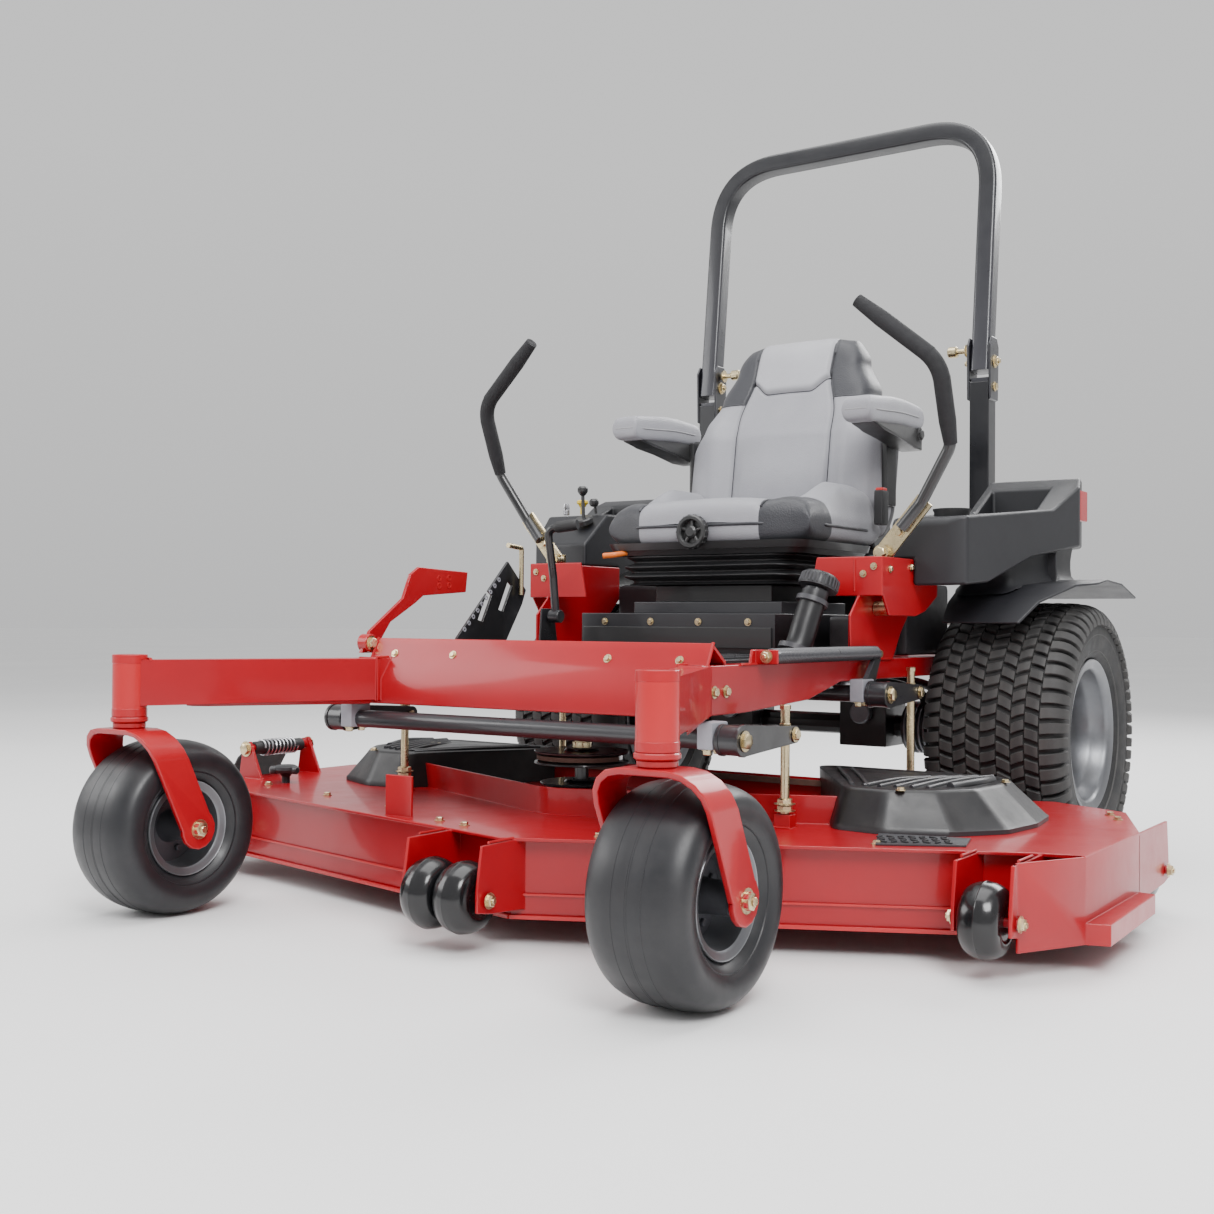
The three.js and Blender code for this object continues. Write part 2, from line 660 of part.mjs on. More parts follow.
// The discharge chute hangs outboard of its hinge rod.
function dischargeChute() {
  const flap = frontPlate(
    sheetOutline([[-908, 250], [-948, 222], [-HALF_WIDTH + 6, 140], [-HALF_WIDTH + 6, 96]], -6), -420, -274,
  );
  const hinge = cut(rod(vec(-900, -420, 249), vec(-900, -274, 249), 15, 12),
    rod(vec(-900, -440, 249), vec(-900, -250, 249), 9.6, 10));
  return cut(join(hinge, flap), rod(vec(-900, -440, 249), vec(-900, -250, 249), 9.6, 10));
}

add('discharge_chute', dischargeChute(), RUBBER);

// ---------------------------------------------------------------- deck lift

// Two arm plates on each shaft end straddle the lift rod.
function liftArms(y, z, length) {
  const pieces = [];
  const tip = y + length;
  const cheek = [
    ...arc(y, z, 27, 70, 290, 6), [tip - 4, z - 15], ...arc(tip, z, 15, -60, 60, 3), [tip - 4, z + 15],
  ];
  for (const s of [-1, 1]) {
    const x = s * LIFT.armX;
    pieces.push(sidePlate(cheek, x - 22, x - 15));
    pieces.push(sidePlate(cheek, x + 15, x + 22));
    pieces.push(rodX(x - 20, x + 20, y, z, 25, 12));
  }
  return pieces;
}

function liftShaft(y, z, length) {
  return join(rodX(-LIFT.armX, LIFT.armX, y, z, LIFT.shaftRadius, 12), ...liftArms(y, z, length));
}

function rearShaft() {
  const { rearY, rearZ, rearArm } = LIFT;
  const crank = [[rearY - 22, rearZ + 8], [rearY + 60, 492], [rearY + 76, 484], [rearY + 26, rearZ - 4]];
  return join(liftShaft(rearY, rearZ, rearArm), sidePlate(crank, 412, 422), rodX(405, 420, 70, 482, 7, 8));
}

add('lift_shaft_front', liftShaft(LIFT.frontY, LIFT.frontZ, LIFT.frontArm), BLACK);
add('lift_shaft_rear', rearShaft(), BLACK);
add('lift_spring', rod(vec(416, -405, 484), vec(416, -16, 484), 14, 10), BLACK);

// A cranked pedal arm outboard of the cross member.
function liftPedal() {
  const outline = [
    [-585, 478], [-548, 478], [-500, 540], [-425, 580], [-400, 596], [-262, 606],
    [-256, 650], [-414, 656], [-440, 640], [-462, 590], [-560, 522],
  ];
  return join(sidePlate(outline, -412, -404), rodX(-416, -396, -566, 498, 16, 10));
}

add('lift_pedal', liftPedal(), RED);

const SLOTS = [[-330, 590], [-262, 612]];

function heightPlate() {
  const outline = [[-417, 490], [-417, 508], [-250, 672], [-186, 612], [-200, 580], [-262, 490]];
  const slots = SLOTS.map(([y, z]) => sidePlate(
    [[y - 20, z - 44], [y - 4, z - 48], [y + 26, z + 8], [y + 12, z + 18]], -320, -280,
  ));
  return cut(join(sidePlate(outline, -303, -297), box(-318, -282, -400, -280, 486, 492)), ...slots);
}

add('height_plate', heightPlate(), BLACK);
add('height_pin', join(
  rodZ(-288, -215, 600, 700, 5, 8), rod(vec(-288, -215, 696), vec(-288, -262, 700), 6, 8),
), ZINC);

function brakeLever() {
  return join(
    rodX(-264, -236, -140, 555, 14, 10),
    bentBar([vec(-250, -140, 555), vec(-250, -150, 640), vec(-250, -172, 744), vec(-188, -160, 752)],
      circle(9, 8), 18, 2),
  );
}

add('brake_lever', brakeLever(), BLACK);

// ---------------------------------------------------------------- operator platform

// Foot pan, front panel, seat tray and the bracket of the parking brake, in one pressing.
function seatPlatform() {
  const { frontY, half, bottom, top, rear } = PLATFORM;
  const tray = box(-half, half, frontY, rear, top - 6, top);
  const panel = box(-half, half, frontY - 6, frontY, bottom - 4, top);
  const wall = (x) => box(x, x + 6, frontY, rear, RAIL.top + GAP, top);
  const pan = box(-336, 336, -498, frontY, RAIL.top + GAP, RAIL.top + 6);
  const foot = (x) => box(x, x + 100, 200, 260, RAIL.top + GAP, RAIL.top + 6);
  const lug = (x) => sidePlate([[-170, 474], [-162, 572], [-118, 572], [-100, 474]], x, x + 5);
  const neck = rod(vec(311, -86, 482), vec(332, -40, 612), 26, 12);
  return join(tray, panel, wall(-half), wall(half - 6), pan, foot(-340), foot(240), lug(-276), neck);
}

add('seat_platform', seatPlatform(), BLACK);

function fuelCap() {
  const from = vec(332.5, -39, 614);
  const along = vec(24, 52, 140).normalize();
  const top = from.clone().addScaledVector(along, 30);
  return rod(from, top, 40, 14, 38);
}

add('fuel_cap', fuelCap(), PLASTIC);

// A moulded pod above the drive wheel: the fuel tank and console in one.
function consolePod(side) {
  const { front, inner, outer, rear, low, high } = CONSOLE;
  const plan = [
    [inner, front], [520, front], [560, front + 14], [outer - 50, 420], [outer, 600], [outer - 22, 690],
    [600, rear], [448, rear], [448, 500], [inner, 500],
  ];
  const block = slab(plan, low, high);
  const face = side > 0 ? [[front - 20, 730], [front + 10, 768]] : [[front - 20, 718], [277, 812]];
  const topProfile = [
    [front - 20, 950], ...face, [500, side > 0 ? 800 : 818], [640, 880], [rear + 20, 880], [rear + 20, 950],
  ];
  const under = [
    [front - 20, 560], [front - 20, 622], [front + 90, 632], [420, 690], [600, 720],
    [rear + 20, 720], [rear + 20, 560],
  ];
  const trayPlan = [
    [432, 330], [560, 330], [600, 420], [604, 600], [470, 600], [470, 480], [432, 470],
  ];
  const well = slab(trayPlan, 760, high + 5);
  const tools = [sidePlate(topProfile, 300, 760), sidePlate(under, 300, 760), well,
    box(380, POD.outer + 1, 100, POD.rear + 2, 560, POD.top + GAP)];
  if (side > 0) tools.push(rodZ(500, 262, 715, high, 38, 14));
  const shaped = cut(block, ...tools);
  return onSide(side, shaped);
}

add('console_left', consolePod(1), PLASTIC);
add('console_right', consolePod(-1), PLASTIC);

// A thin arched guard over the drive tyre.
function fender(side) {
  const path = [[330, 545], [370, 590], [440, 626], [560, 640], [680, 634], [800, 606]];
  const sheet = sidePlate(sheetOutline(path, 5), 452, 744);
  const leg = box(452, 458, 520, 560, 630, 705);
  const trimmed = cut(sheet, slab([[600, 300], [760, 300], [760, 500]], 500, 700));
  return onSide(side, join(trimmed, leg, box(452, 640, 530, 536, 636, 705)));
}

add('fender_left', fender(1), PLASTIC);
add('fender_right', fender(-1), PLASTIC);

add('throttle_lever', join(
  rod(vec(-440, 285, 818), vec(-440, 277, 838), 4, 8), rodZ(-440, 276, 832, 852, 12, 10),
), BLACK);
add('pto_knob', join(rodZ(-490, 296, 818, 838, 6, 8), rodZ(-490, 296, 835, 852, 15, 12)), ZINC);
add('ignition_key', join(rodZ(-540, 296, 818, 828, 8, 8), box(-542, -538, 285, 307, 827, 846)), STEEL);

// ---------------------------------------------------------------- control levers

function controlArm(side) {
  const { x, y, hubZ, swingZ } = LEVER;
  const shape = join(
    rodX(POD.inner + POD.plate + GAP, POD.outer - POD.plate - GAP, y, hubZ, 15, 12),
    box(x - 12, x + 12, y + 6, y + 14, hubZ, swingZ + 14),
  );
  return onSide(side, shape);
}

function motionLever(side) {
  const { x, y, swingZ, tube, grip } = LEVER;
  const low = vec(x, y - 9, swingZ);
  const knee = vec(502, 92, 788);
  const wrist = vec(572, 66, 900);
  const bend = vec(573, 2, 1056);
  const tip = vec(410, -25, 1192);
  const hub = rod(vec(x, y + 6 - GAP, swingZ), vec(x, y - 16, swingZ), 14, 12);
  const stalkPath = [
    low, knee.clone().lerp(low, 0.1), knee, wrist.clone().lerp(knee, 0.12), wrist,
  ];
  const stalk = bentBar(stalkPath, circle(tube, 8), 0);
  const handle = bentBar([wrist.clone().lerp(knee, 0.06), bend, tip], circle(grip, 10), 70, 4);
  return onSide(side, join(hub, stalk, handle));
}

for (const [label, side] of SIDES) {
  add(`control_arm_${label}`, controlArm(side), ZINC);
  add(`motion_lever_${label}`, motionLever(side), BLACK);
}

// ---------------------------------------------------------------- seat

const BOOT = { low: 628, high: 694, half: 212, front: 62, rear: 420 };

add('seat_suspension', join(
  box(-190, 190, 80, 400, PLATFORM.top + GAP, 590),
  box(-150, 150, 110, 370, 588, BOOT.low - GAP),
), BLACK);
add('seat_boot', box(-BOOT.half, BOOT.half, BOOT.front, BOOT.rear, BOOT.low, BOOT.high), RUBBER);

function seatCushion() {
  const { half, front, rear, bottom, top } = SEAT;
  const plan = [[-half + 40, front + 30], [-110, front], [110, front], [half - 40, front + 30],
    [half, front + 80], [half, rear - 30], [-half, rear - 30], [-half, front + 80]];
  return slab(plan, bottom, top);
}

// The backrest leans back from the rear of the cushion.
function seatBack() {
  const side = [
    [412, 818], [444, 1000], [536, 1244], [600, 1244], [600, 1150],
    [560, 1000], [540, 740], [445, 740], [445, 818],
  ];
  const front = [[-264, 720], [264, 720], [268, 960], [230, 1040], [176, 1180], [150, 1260],
    [-150, 1260], [-176, 1180], [-230, 1040], [-268, 960]];
  const body = toSolid(sidePlate(side, -300, 300)).intersect(toSolid(frontPlate(front, 380, 640)));
  return join(toGeometry(body), ...[-1, 1].map((s) => rodX(s * 255, s * 270, 490, 985, 22, 10)));
}

function armrest(side) {
  const outline = [
    [206, 992], [206, 1034], [226, 1050], [480, 1058],
    [516, 1034], [516, 960], [488, 958], [380, 984],
  ];
  return onSide(side, sidePlate(outline, 272, 334));
}

add('seat_cushion', seatCushion(), VINYL);
add('seat_back', seatBack(), VINYL);
for (const [label, side] of SIDES) add(`armrest_${label}`, armrest(side), VINYL);

// ---------------------------------------------------------------- roll bar

const HOOP_HALF = ROLL.tubeX / 2;

function hingeCheeks(x) {
  const { y, hingeZ } = ROLL;
  const outline = [
    [y - 27, hingeZ - 95], [y + 27, hingeZ - 95], [y + 31, hingeZ + 40],
    [y + 18, hingeZ + 60], [y - 18, hingeZ + 60], [y - 31, hingeZ + 40],
  ];
  const out = HOOP_HALF + 1;
  return [sidePlate(outline, x - out - 6, x - out), sidePlate(outline, x + out, x + out + 6)];
}

function rollBase() {
  const pieces = [];
  for (const s of [-1, 1]) {
    const x = s * ROLL.x;
    const half = HOOP_HALF + 1.5;
    const deep = ROLL.tubeY / 2;
    pieces.push(box(x - half, x + half, ROLL.y - deep, ROLL.y + deep, RAIL.top + GAP, ROLL.postTop));
    pieces.push(box(x - half, x + half, ROLL.y + deep - 4, 866, 484, 528));
    pieces.push(...hingeCheeks(x));
    pieces.push(rodX(x - HOOP_HALF - 12, x + HOOP_HALF + 14, ROLL.y, ROLL.hingeZ, 8, 8));
  }
  return join(...pieces, box(-ROLL.x - 25, ROLL.x + 25, 832, 868, 482, 530));
}

add('roll_bar_base', rollBase(), BLACK);

function rollHoop() {
  const { x, y, hingeZ, top, tubeX, tubeY, bend } = ROLL;
  const height = top - tubeX / 2;
  const corners = [
    vec(-x, y - 3, hingeZ - 24), vec(-x, y + HOOP_LEAN, height), vec(x, y + HOOP_LEAN, height),
    vec(x, y - 3, hingeZ - 24),
  ];
  const hoop = bentBar(corners, rectangle(tubeX, tubeY), bend, 6);
  const bores = [-1, 1].map((s) => rodX(s * x - 40, s * x + 40, y, hingeZ, 9, 8));
  return cut(hoop, ...bores);
}

add('roll_hoop', rollHoop(), BLACK);

for (const [label, side] of SIDES) {
  const inside = ROLL.x - HOOP_HALF - 7 - GAP;
  const z = ROLL.hingeZ + 32;
  const shank = rodX(inside - 42, inside, ROLL.y, z, 7, 8);
  const pin = join(shank, rodX(inside - 56, inside - 34, ROLL.y, z, 14, 10));
  add(`lock_pin_${label}`, onSide(side, pin), ZINC);
}

// ---------------------------------------------------------------- power unit

const CRANK = { x: 0, y: 730 };

function engine() {
  const pieces = [
    rodZ(CRANK.x, CRANK.y, ENGINE_SEAT + GAP, 560, 98, 16),
    box(-130, 130, 650, 810, 550, 640),
    rodZ(CRANK.x, CRANK.y, 635, 730, 168, 20),
    rodX(-150, 150, 690, 780, 62, 16),
  ];
  for (const s of [-1, 1]) {
    const head = box(-55, 55, -66, 66, -50, 50).rotateZ(s * 0.6).translate(s * 165, 815, 610);
    pieces.push(head);
  }
  return join(...pieces);
}

add('engine', engine(), BLACK);
add('muffler', join(
  rodX(-190, 190, 978, 560, 56, 14),
  rodX(186, 232, 978, 560, 18, 10),
  ...[-1, 1].map((s) => rod(vec(s * 140, 970, 570), vec(s * 176, 912, 606), 15, 10)),
), STEEL);
add('clutch_pulley', join(
  rodZ(CRANK.x, CRANK.y, 372, 455, 20, 10),
  turnedZ([[0, 400], [66, 400], [66, 436], [0, 436]], CRANK.x, CRANK.y, 20),
  turnedZ([[0, 376], [64, 376], [52, 384], [52, 390], [64, 398], [0, 398]], CRANK.x, CRANK.y, 20),
), STEEL);

// A tube guard behind the engine with a flat hitch plate.
function rearGuard() {
  const [lowZ, highZ, back] = [452, 700, REAR_END - 24];
  const bar = bentBar([
    vec(-360, RAIL.rear + GAP, lowZ), vec(-360, back + 2, lowZ),
    vec(360, back + 2, lowZ), vec(360, RAIL.rear + GAP, lowZ),
  ], circle(19, 8), 90, 3);
  const upper = bentBar([
    vec(-300, back, lowZ), vec(-300, back, highZ), vec(300, back, highZ), vec(300, back, lowZ),
  ], circle(14, 8), 70, 3);
  const pinHole = rod(vec(0, REAR_END - 20, 425), vec(0, REAR_END + 5, 425), 10, 12);
  const hitch = cut(box(-60, 60, REAR_END - 8, REAR_END, 400, 500), pinHole);
  const ties = [-1, 1].map((s) => box(s * 60 - 8, s * 60 + 8, REAR_END - 40, REAR_END - 4, 440, 464));
  return join(bar, upper, hitch, ...ties, box(-300, 300, REAR_END - 30, REAR_END - 22, 560, 580));
}

add('rear_guard', rearGuard(), BLACK);

export default mower;
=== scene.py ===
import json
import math

import bmesh
import bpy
from mathutils import Matrix, Vector, noise


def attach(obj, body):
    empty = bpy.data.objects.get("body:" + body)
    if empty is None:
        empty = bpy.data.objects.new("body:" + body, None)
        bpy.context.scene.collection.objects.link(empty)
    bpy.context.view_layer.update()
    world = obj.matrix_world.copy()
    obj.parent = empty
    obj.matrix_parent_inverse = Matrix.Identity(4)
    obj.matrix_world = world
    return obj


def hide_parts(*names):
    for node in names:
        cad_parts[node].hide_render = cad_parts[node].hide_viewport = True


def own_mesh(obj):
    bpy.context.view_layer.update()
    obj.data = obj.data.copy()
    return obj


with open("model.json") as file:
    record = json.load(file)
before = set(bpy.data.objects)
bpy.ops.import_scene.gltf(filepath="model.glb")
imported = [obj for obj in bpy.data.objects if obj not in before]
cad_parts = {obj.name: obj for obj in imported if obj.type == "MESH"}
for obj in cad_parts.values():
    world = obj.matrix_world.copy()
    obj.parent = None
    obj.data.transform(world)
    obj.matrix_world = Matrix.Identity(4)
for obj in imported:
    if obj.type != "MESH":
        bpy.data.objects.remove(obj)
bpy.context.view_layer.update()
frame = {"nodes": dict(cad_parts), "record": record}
NODES = frame["nodes"]
NODE_BODY = {}
for body_name, node_names in frame["record"]["behaviour"]["bodies"].items():
    for node_name in node_names:
        NODE_BODY[node_name] = body_name

SIDES = (("left", 1), ("right", -1))


def P(x, y, z):
    """A point given in millimetres."""
    return Vector((x, y, z)) * 0.001


# ---------------------------------------------------------------- materials


class Graph:
    def __init__(self, name):
        self.mat = bpy.data.materials.new(name)
        self.mat.use_nodes = True
        self.tree = self.mat.node_tree
        self.bsdf = self.tree.nodes["Principled BSDF"]
        self.coord = self.tree.nodes.new("ShaderNodeTexCoord").outputs["Object"]

    def node(self, kind, **values):
        n = self.tree.nodes.new(kind)
        for key, value in values.items():
            setattr(n, key, value)
        return n

    def link(self, a, b):
        self.tree.links.new(a, b)

    def noise(self, scale, detail=3, rough=0.5, stretch=None):
        n = self.node("ShaderNodeTexNoise")
        n.inputs["Scale"].default_value = scale
        n.inputs["Detail"].default_value = detail
        n.inputs["Roughness"].default_value = rough
        if stretch:
            m = self.node("ShaderNodeMapping")
            m.inputs["Scale"].default_value = stretch
            self.link(self.coord, m.inputs["Vector"])
            self.link(m.outputs["Vector"], n.inputs["Vector"])
        else:
            self.link(self.coord, n.inputs["Vector"])
        return n.outputs["Fac"]

    def cells(self, scale, feature="F1"):
        n = self.node("ShaderNodeTexVoronoi", feature=feature)
        n.inputs["Scale"].default_value = scale
        self.link(self.coord, n.inputs["Vector"])
        return n.outputs["Distance"]

    def ramp(self, fac, stops):
        n = self.node("ShaderNodeValToRGB")
        ramp = n.color_ramp
        while len(ramp.elements) < len(stops):
            ramp.elements.new(0.5)
        for element, (place, colour) in zip(ramp.elements, stops):
            element.position = place
            element.color = (*colour, 1)
        self.link(fac, n.inputs["Fac"])
        return n.outputs["Color"]

    def mix(self, fac, a, b, kind="MIX"):
        n = self.node("ShaderNodeMix", data_type="RGBA", blend_type=kind)
        if isinstance(fac, float):
            n.inputs["Factor"].default_value = fac
        else:
            self.link(fac, n.inputs["Factor"])
        for key, value in (("A", a), ("B", b)):
            socket = [s for s in n.inputs if s.name == key and s.type == "RGBA"][0]
            if isinstance(value, tuple):
                socket.default_value = (*value, 1)
            else:
                self.link(value, socket)
        return [s for s in n.outputs if s.type == "RGBA"][0]

    def spread(self, fac, low, high, from_low=0.3, from_high=0.7):
        n = self.node("ShaderNodeMapRange")
        n.inputs["From Min"].default_value = from_low
        n.inputs["From Max"].default_value = from_high
        n.inputs["To Min"].default_value = low
        n.inputs["To Max"].default_value = high
        self.link(fac, n.inputs["Value"])
        return n.outputs["Result"]

    def bump(self, layers):
        normal = None
        for fac, strength, distance in layers:
            n = self.node("ShaderNodeBump")
            n.inputs["Strength"].default_value = strength
            n.inputs["Distance"].default_value = distance
            self.link(fac, n.inputs["Height"])
            if normal is not None:
                self.link(normal, n.inputs["Normal"])
            normal = n.outputs["Normal"]
        self.link(normal, self.bsdf.inputs["Normal"])

    def set(self, **values):
        for key, value in values.items():
            self.bsdf.inputs[key.replace("_", " ")].default_value = value


def tint(colour, factor):
    return tuple(min(1.0, c * factor) for c in colour)


def make(name, colour, rough, metal=0.0, coat=0.0, vary=0.14, patch=7.0, rough_vary=0.07,
         layers=(), wear_and_edge_highlight=None, specular=None, stretch=None, dust=None):
    """A finish with patchy colour, patchy gloss, bump layers and lighter edges, partly wear and partly a
    painted edge highlight.
    """
    g = Graph(name)
    broad = g.noise(patch, 4, 0.6)
    fine = g.noise(patch * 14, 3, 0.6, stretch)
    base = g.ramp(broad, [(0.3, tint(colour, 1 - vary)), (0.55, colour), (0.75, tint(colour, 1 + vary))])
    base = g.mix(g.spread(fine, 0.0, 0.35), base, tint(colour, 1 - 1.4 * vary))
    if dust:
        base = g.mix(g.spread(g.noise(patch * 2.2, 5, 0.7), 0.0, dust[1], 0.45, 0.8), base, dust[0])
    if wear_and_edge_highlight:
        # Convex edges (pointiness) are mixed toward a lighter colour: partly wear, partly a painted edge
        # highlight.
        point = g.node("ShaderNodeNewGeometry").outputs["Pointiness"]
        edge = g.spread(point, 0.0, wear_and_edge_highlight[1], 0.53, 0.62)
        base = g.mix(edge, base, wear_and_edge_highlight[0])
    g.link(base, g.bsdf.inputs["Base Color"])
    g.link(g.spread(g.noise(patch * 3, 5, 0.65), rough - rough_vary, rough + rough_vary),
           g.bsdf.inputs["Roughness"])
    g.set(Metallic=metal)
    if coat:
        g.set(Coat_Weight=coat, Coat_Roughness=0.08)
    if specular is not None:
        g.set(Specular_IOR_Level=specular)
    built = []
    for layer in layers:
        kind, scale, strength, distance = layer
        built.append(((g.cells(scale) if kind == "cells" else g.noise(scale, 4, 0.6, stretch)), strength,
                      distance))
    if built:
        g.bump(built)
    return g.mat


# The tuple after the bump layers is the lighter edge colour and its strength: partly wear, partly a painted
# edge highlight.
RED = make("paint_red", (0.33, 0.001, 0.007), 0.34, 0.0, 0.35, 0.08, 5, 0.05,
           [("noise", 420, 0.05, 0.0004), ("noise", 24, 0.05, 0.002)], ((0.62, 0.03, 0.03), 0.4),
           specular=0.3)
BLACK = make("paint_black", (0.006, 0.006, 0.007), 0.34, 0.0, 0.35, 0.2, 6, 0.08,
             [("noise", 380, 0.08, 0.0004)], ((0.07, 0.07, 0.08), 0.6))
CHARCOAL = make("paint_charcoal", (0.009, 0.0094, 0.012), 0.34, 0.1, 0.3, 0.16, 5, 0.07,
                [("noise", 520, 0.10, 0.0004)], ((0.09, 0.09, 0.11), 0.5))
PLASTIC = make("plastic_grained", (0.010, 0.0104, 0.013), 0.50, 0.0, 0.0, 0.12, 5, 0.05,
               [("cells", 900, 0.22, 0.0004), ("noise", 60, 0.05, 0.001)], ((0.05, 0.05, 0.06), 0.4))
COVER = make("plastic_cover", (0.0062, 0.0062, 0.0078), 0.40, 0.0, 0.0, 0.2, 6, 0.08,
             [("cells", 1100, 0.15, 0.0003)], ((0.08, 0.08, 0.09), 0.5),
             dust=((0.10, 0.09, 0.08), 0.16))
TYRE = make("rubber_tyre", (0.0085, 0.0085, 0.0095), 0.66, 0.0, 0.0, 0.22, 9, 0.08,
            [("noise", 260, 0.25, 0.0006)], ((0.09, 0.088, 0.085), 0.5), dust=((0.09, 0.08, 0.07), 0.22))
SMOOTH_TYRE = make("rubber_smooth", (0.0095, 0.0098, 0.0122), 0.42, 0.0, 0.0, 0.22, 7, 0.08,
                   [("noise", 420, 0.12, 0.0004), ("noise", 30, 0.08, 0.002)],
                   dust=((0.06, 0.055, 0.055), 0.2))
ROLLER = make("rubber_roller", (0.006, 0.006, 0.007), 0.22, 0.0, 0.1, 0.22, 14, 0.07,
              [("noise", 300, 0.08, 0.0004)])
BOOT = make("rubber_boot", (0.007, 0.007, 0.008), 0.48, 0.0, 0.0, 0.2, 10, 0.08,
            [("cells", 700, 0.18, 0.0004)])
FOAM = make("foam_grip", (0.010, 0.010, 0.012), 0.78, 0.0, 0.0, 0.2, 20, 0.06,
            [("cells", 800, 0.6, 0.0008), ("noise", 120, 0.2, 0.001)])
BELT = make("belt_fabric", (0.095, 0.050, 0.036), 0.75, 0.0, 0.0, 0.3, 25, 0.1,
            [("cells", 900, 0.4, 0.0005)])
RIM = make("rim_steel", (0.155, 0.16, 0.172), 0.36, 0.7, 0.1, 0.12, 8, 0.07,
           [("noise", 300, 0.06, 0.0004)], ((0.6, 0.6, 0.62), 0.4), dust=((0.16, 0.14, 0.12), 0.18))
HUB = make("hub_grey", (0.07, 0.07, 0.08), 0.42, 0.5, 0.0, 0.2, 9, 0.08, [("noise", 300, 0.1, 0.0005)])
STEEL = make("steel_bare", (0.48, 0.48, 0.50), 0.30, 1.0, 0.0, 0.15, 14, 0.09,
             [("noise", 300, 0.12, 0.0003)], stretch=(1, 1, 14))
ZINC = make("zinc_plated", (0.66, 0.55, 0.34), 0.30, 1.0, 0.0, 0.2, 30, 0.09,
            [("noise", 300, 0.1, 0.0003)])
CAST = make("cast_grey", (0.33, 0.33, 0.37), 0.52, 0.25, 0.0, 0.14, 16, 0.08,
            [("noise", 520, 0.35, 0.0008)])
ALLOY = make("alloy_cast", (0.26, 0.27, 0.29), 0.45, 0.8, 0.0, 0.2, 12, 0.09,
             [("noise", 420, 0.3, 0.0008)])
SHROUD = make("engine_shroud", (0.009, 0.009, 0.010), 0.36, 0.0, 0.2, 0.2, 8, 0.07,
              [("cells", 700, 0.12, 0.0003)], ((0.08, 0.08, 0.08), 0.4))
KNOB_RED = make("plastic_red", (0.55, 0.02, 0.018), 0.35, 0.0, 0.2, 0.1, 12, 0.05,
                [("noise", 400, 0.05, 0.0003)])
KNOB_ORANGE = make("plastic_orange", (0.72, 0.16, 0.02), 0.4, 0.0, 0.0, 0.1, 12, 0.05,
                   [("noise", 400, 0.05, 0.0003)])
YELLOW = make("plastic_yellow", (0.75, 0.52, 0.03), 0.4, 0.0, 0.0, 0.1, 12, 0.05,
              [("noise", 400, 0.05, 0.0003)])
HEAT = make("muffler_steel", (0.30, 0.27, 0.25), 0.48, 0.85, 0.0, 0.3, 9, 0.12,
            [("noise", 160, 0.2, 0.0006)])
HOSE = make("hose_rubber", (0.015, 0.015, 0.016), 0.55, 0.0, 0.0, 0.2, 20, 0.08,
            [("noise", 500, 0.25, 0.0005)])


def leather(name, colour, rough, grain):
    """Vinyl with pebbled grain, softer broad dents and faint soiling."""
    g = Graph(name)
    broad = g.noise(9, 4, 0.6)
    base = g.ramp(broad, [(0.3, tint(colour, 0.92)), (0.6, colour), (0.8, tint(colour, 1.06))])
    pits = g.cells(grain)
    base = g.mix(g.spread(pits, 0.0, 0.22, 0.25, 0.75), base, tint(colour, 0.72))
    g.link(base, g.bsdf.inputs["Base Color"])
    g.link(g.spread(g.noise(40, 4, 0.6), rough - 0.05, rough + 0.07), g.bsdf.inputs["Roughness"])
    g.set(Sheen_Weight=0.08, Specular_IOR_Level=0.42)
    g.bump([(g.noise(16, 3, 0.5), 0.16, 0.004), (pits, 0.5, 0.0008),
            (g.noise(grain * 2.5, 3, 0.6), 0.2, 0.0003)])
    return g.mat


VINYL = leather("vinyl_light", (0.29, 0.29, 0.315), 0.42, 520)
VINYL_PALE = leather("vinyl_pale", (0.36, 0.36, 0.385), 0.42, 560)
VINYL_DARK = leather("vinyl_dark", (0.032, 0.033, 0.039), 0.43, 300)
THREAD = make("thread_grey", (0.30, 0.30, 0.31), 0.7, 0.0, 0.0, 0.2, 60, 0.08,
              [("noise", 900, 0.4, 0.0004)])

# ---------------------------------------------------------------- mesh helpers


def place(name, bm, body, mats, slot=None, sharp=35, weighted=False):
    me = bpy.data.meshes.new(name)
    bmesh.ops.recalc_face_normals(bm, faces=bm.faces)
    bm.to_mesh(me)
    bm.free()
    return settle(name, me, body, mats, sharp, weighted)


def settle(name, me, body, mats, sharp=35, weighted=False):
    for m in mats if isinstance(mats, (list, tuple)) else [mats]:
        me.materials.append(m)
    me.polygons.foreach_set("use_smooth", [True] * len(me.polygons))
    me.set_sharp_from_angle(angle=math.radians(sharp))
    ob = bpy.data.objects.new(name, me)
    bpy.context.scene.collection.objects.link(ob)
    if weighted:
        ob.modifiers.new("even", "WEIGHTED_NORMAL").keep_sharp = True
    if body:
        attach(ob, body)
    return ob


def freeze(ob):
    """The modifiers' result as the object's own mesh."""
    bpy.context.view_layer.update()
    held = ob.evaluated_get(bpy.context.evaluated_depsgraph_get())
    me = bpy.data.meshes.new_from_object(held)
    ob.modifiers.clear()
    ob.data = me
    return ob


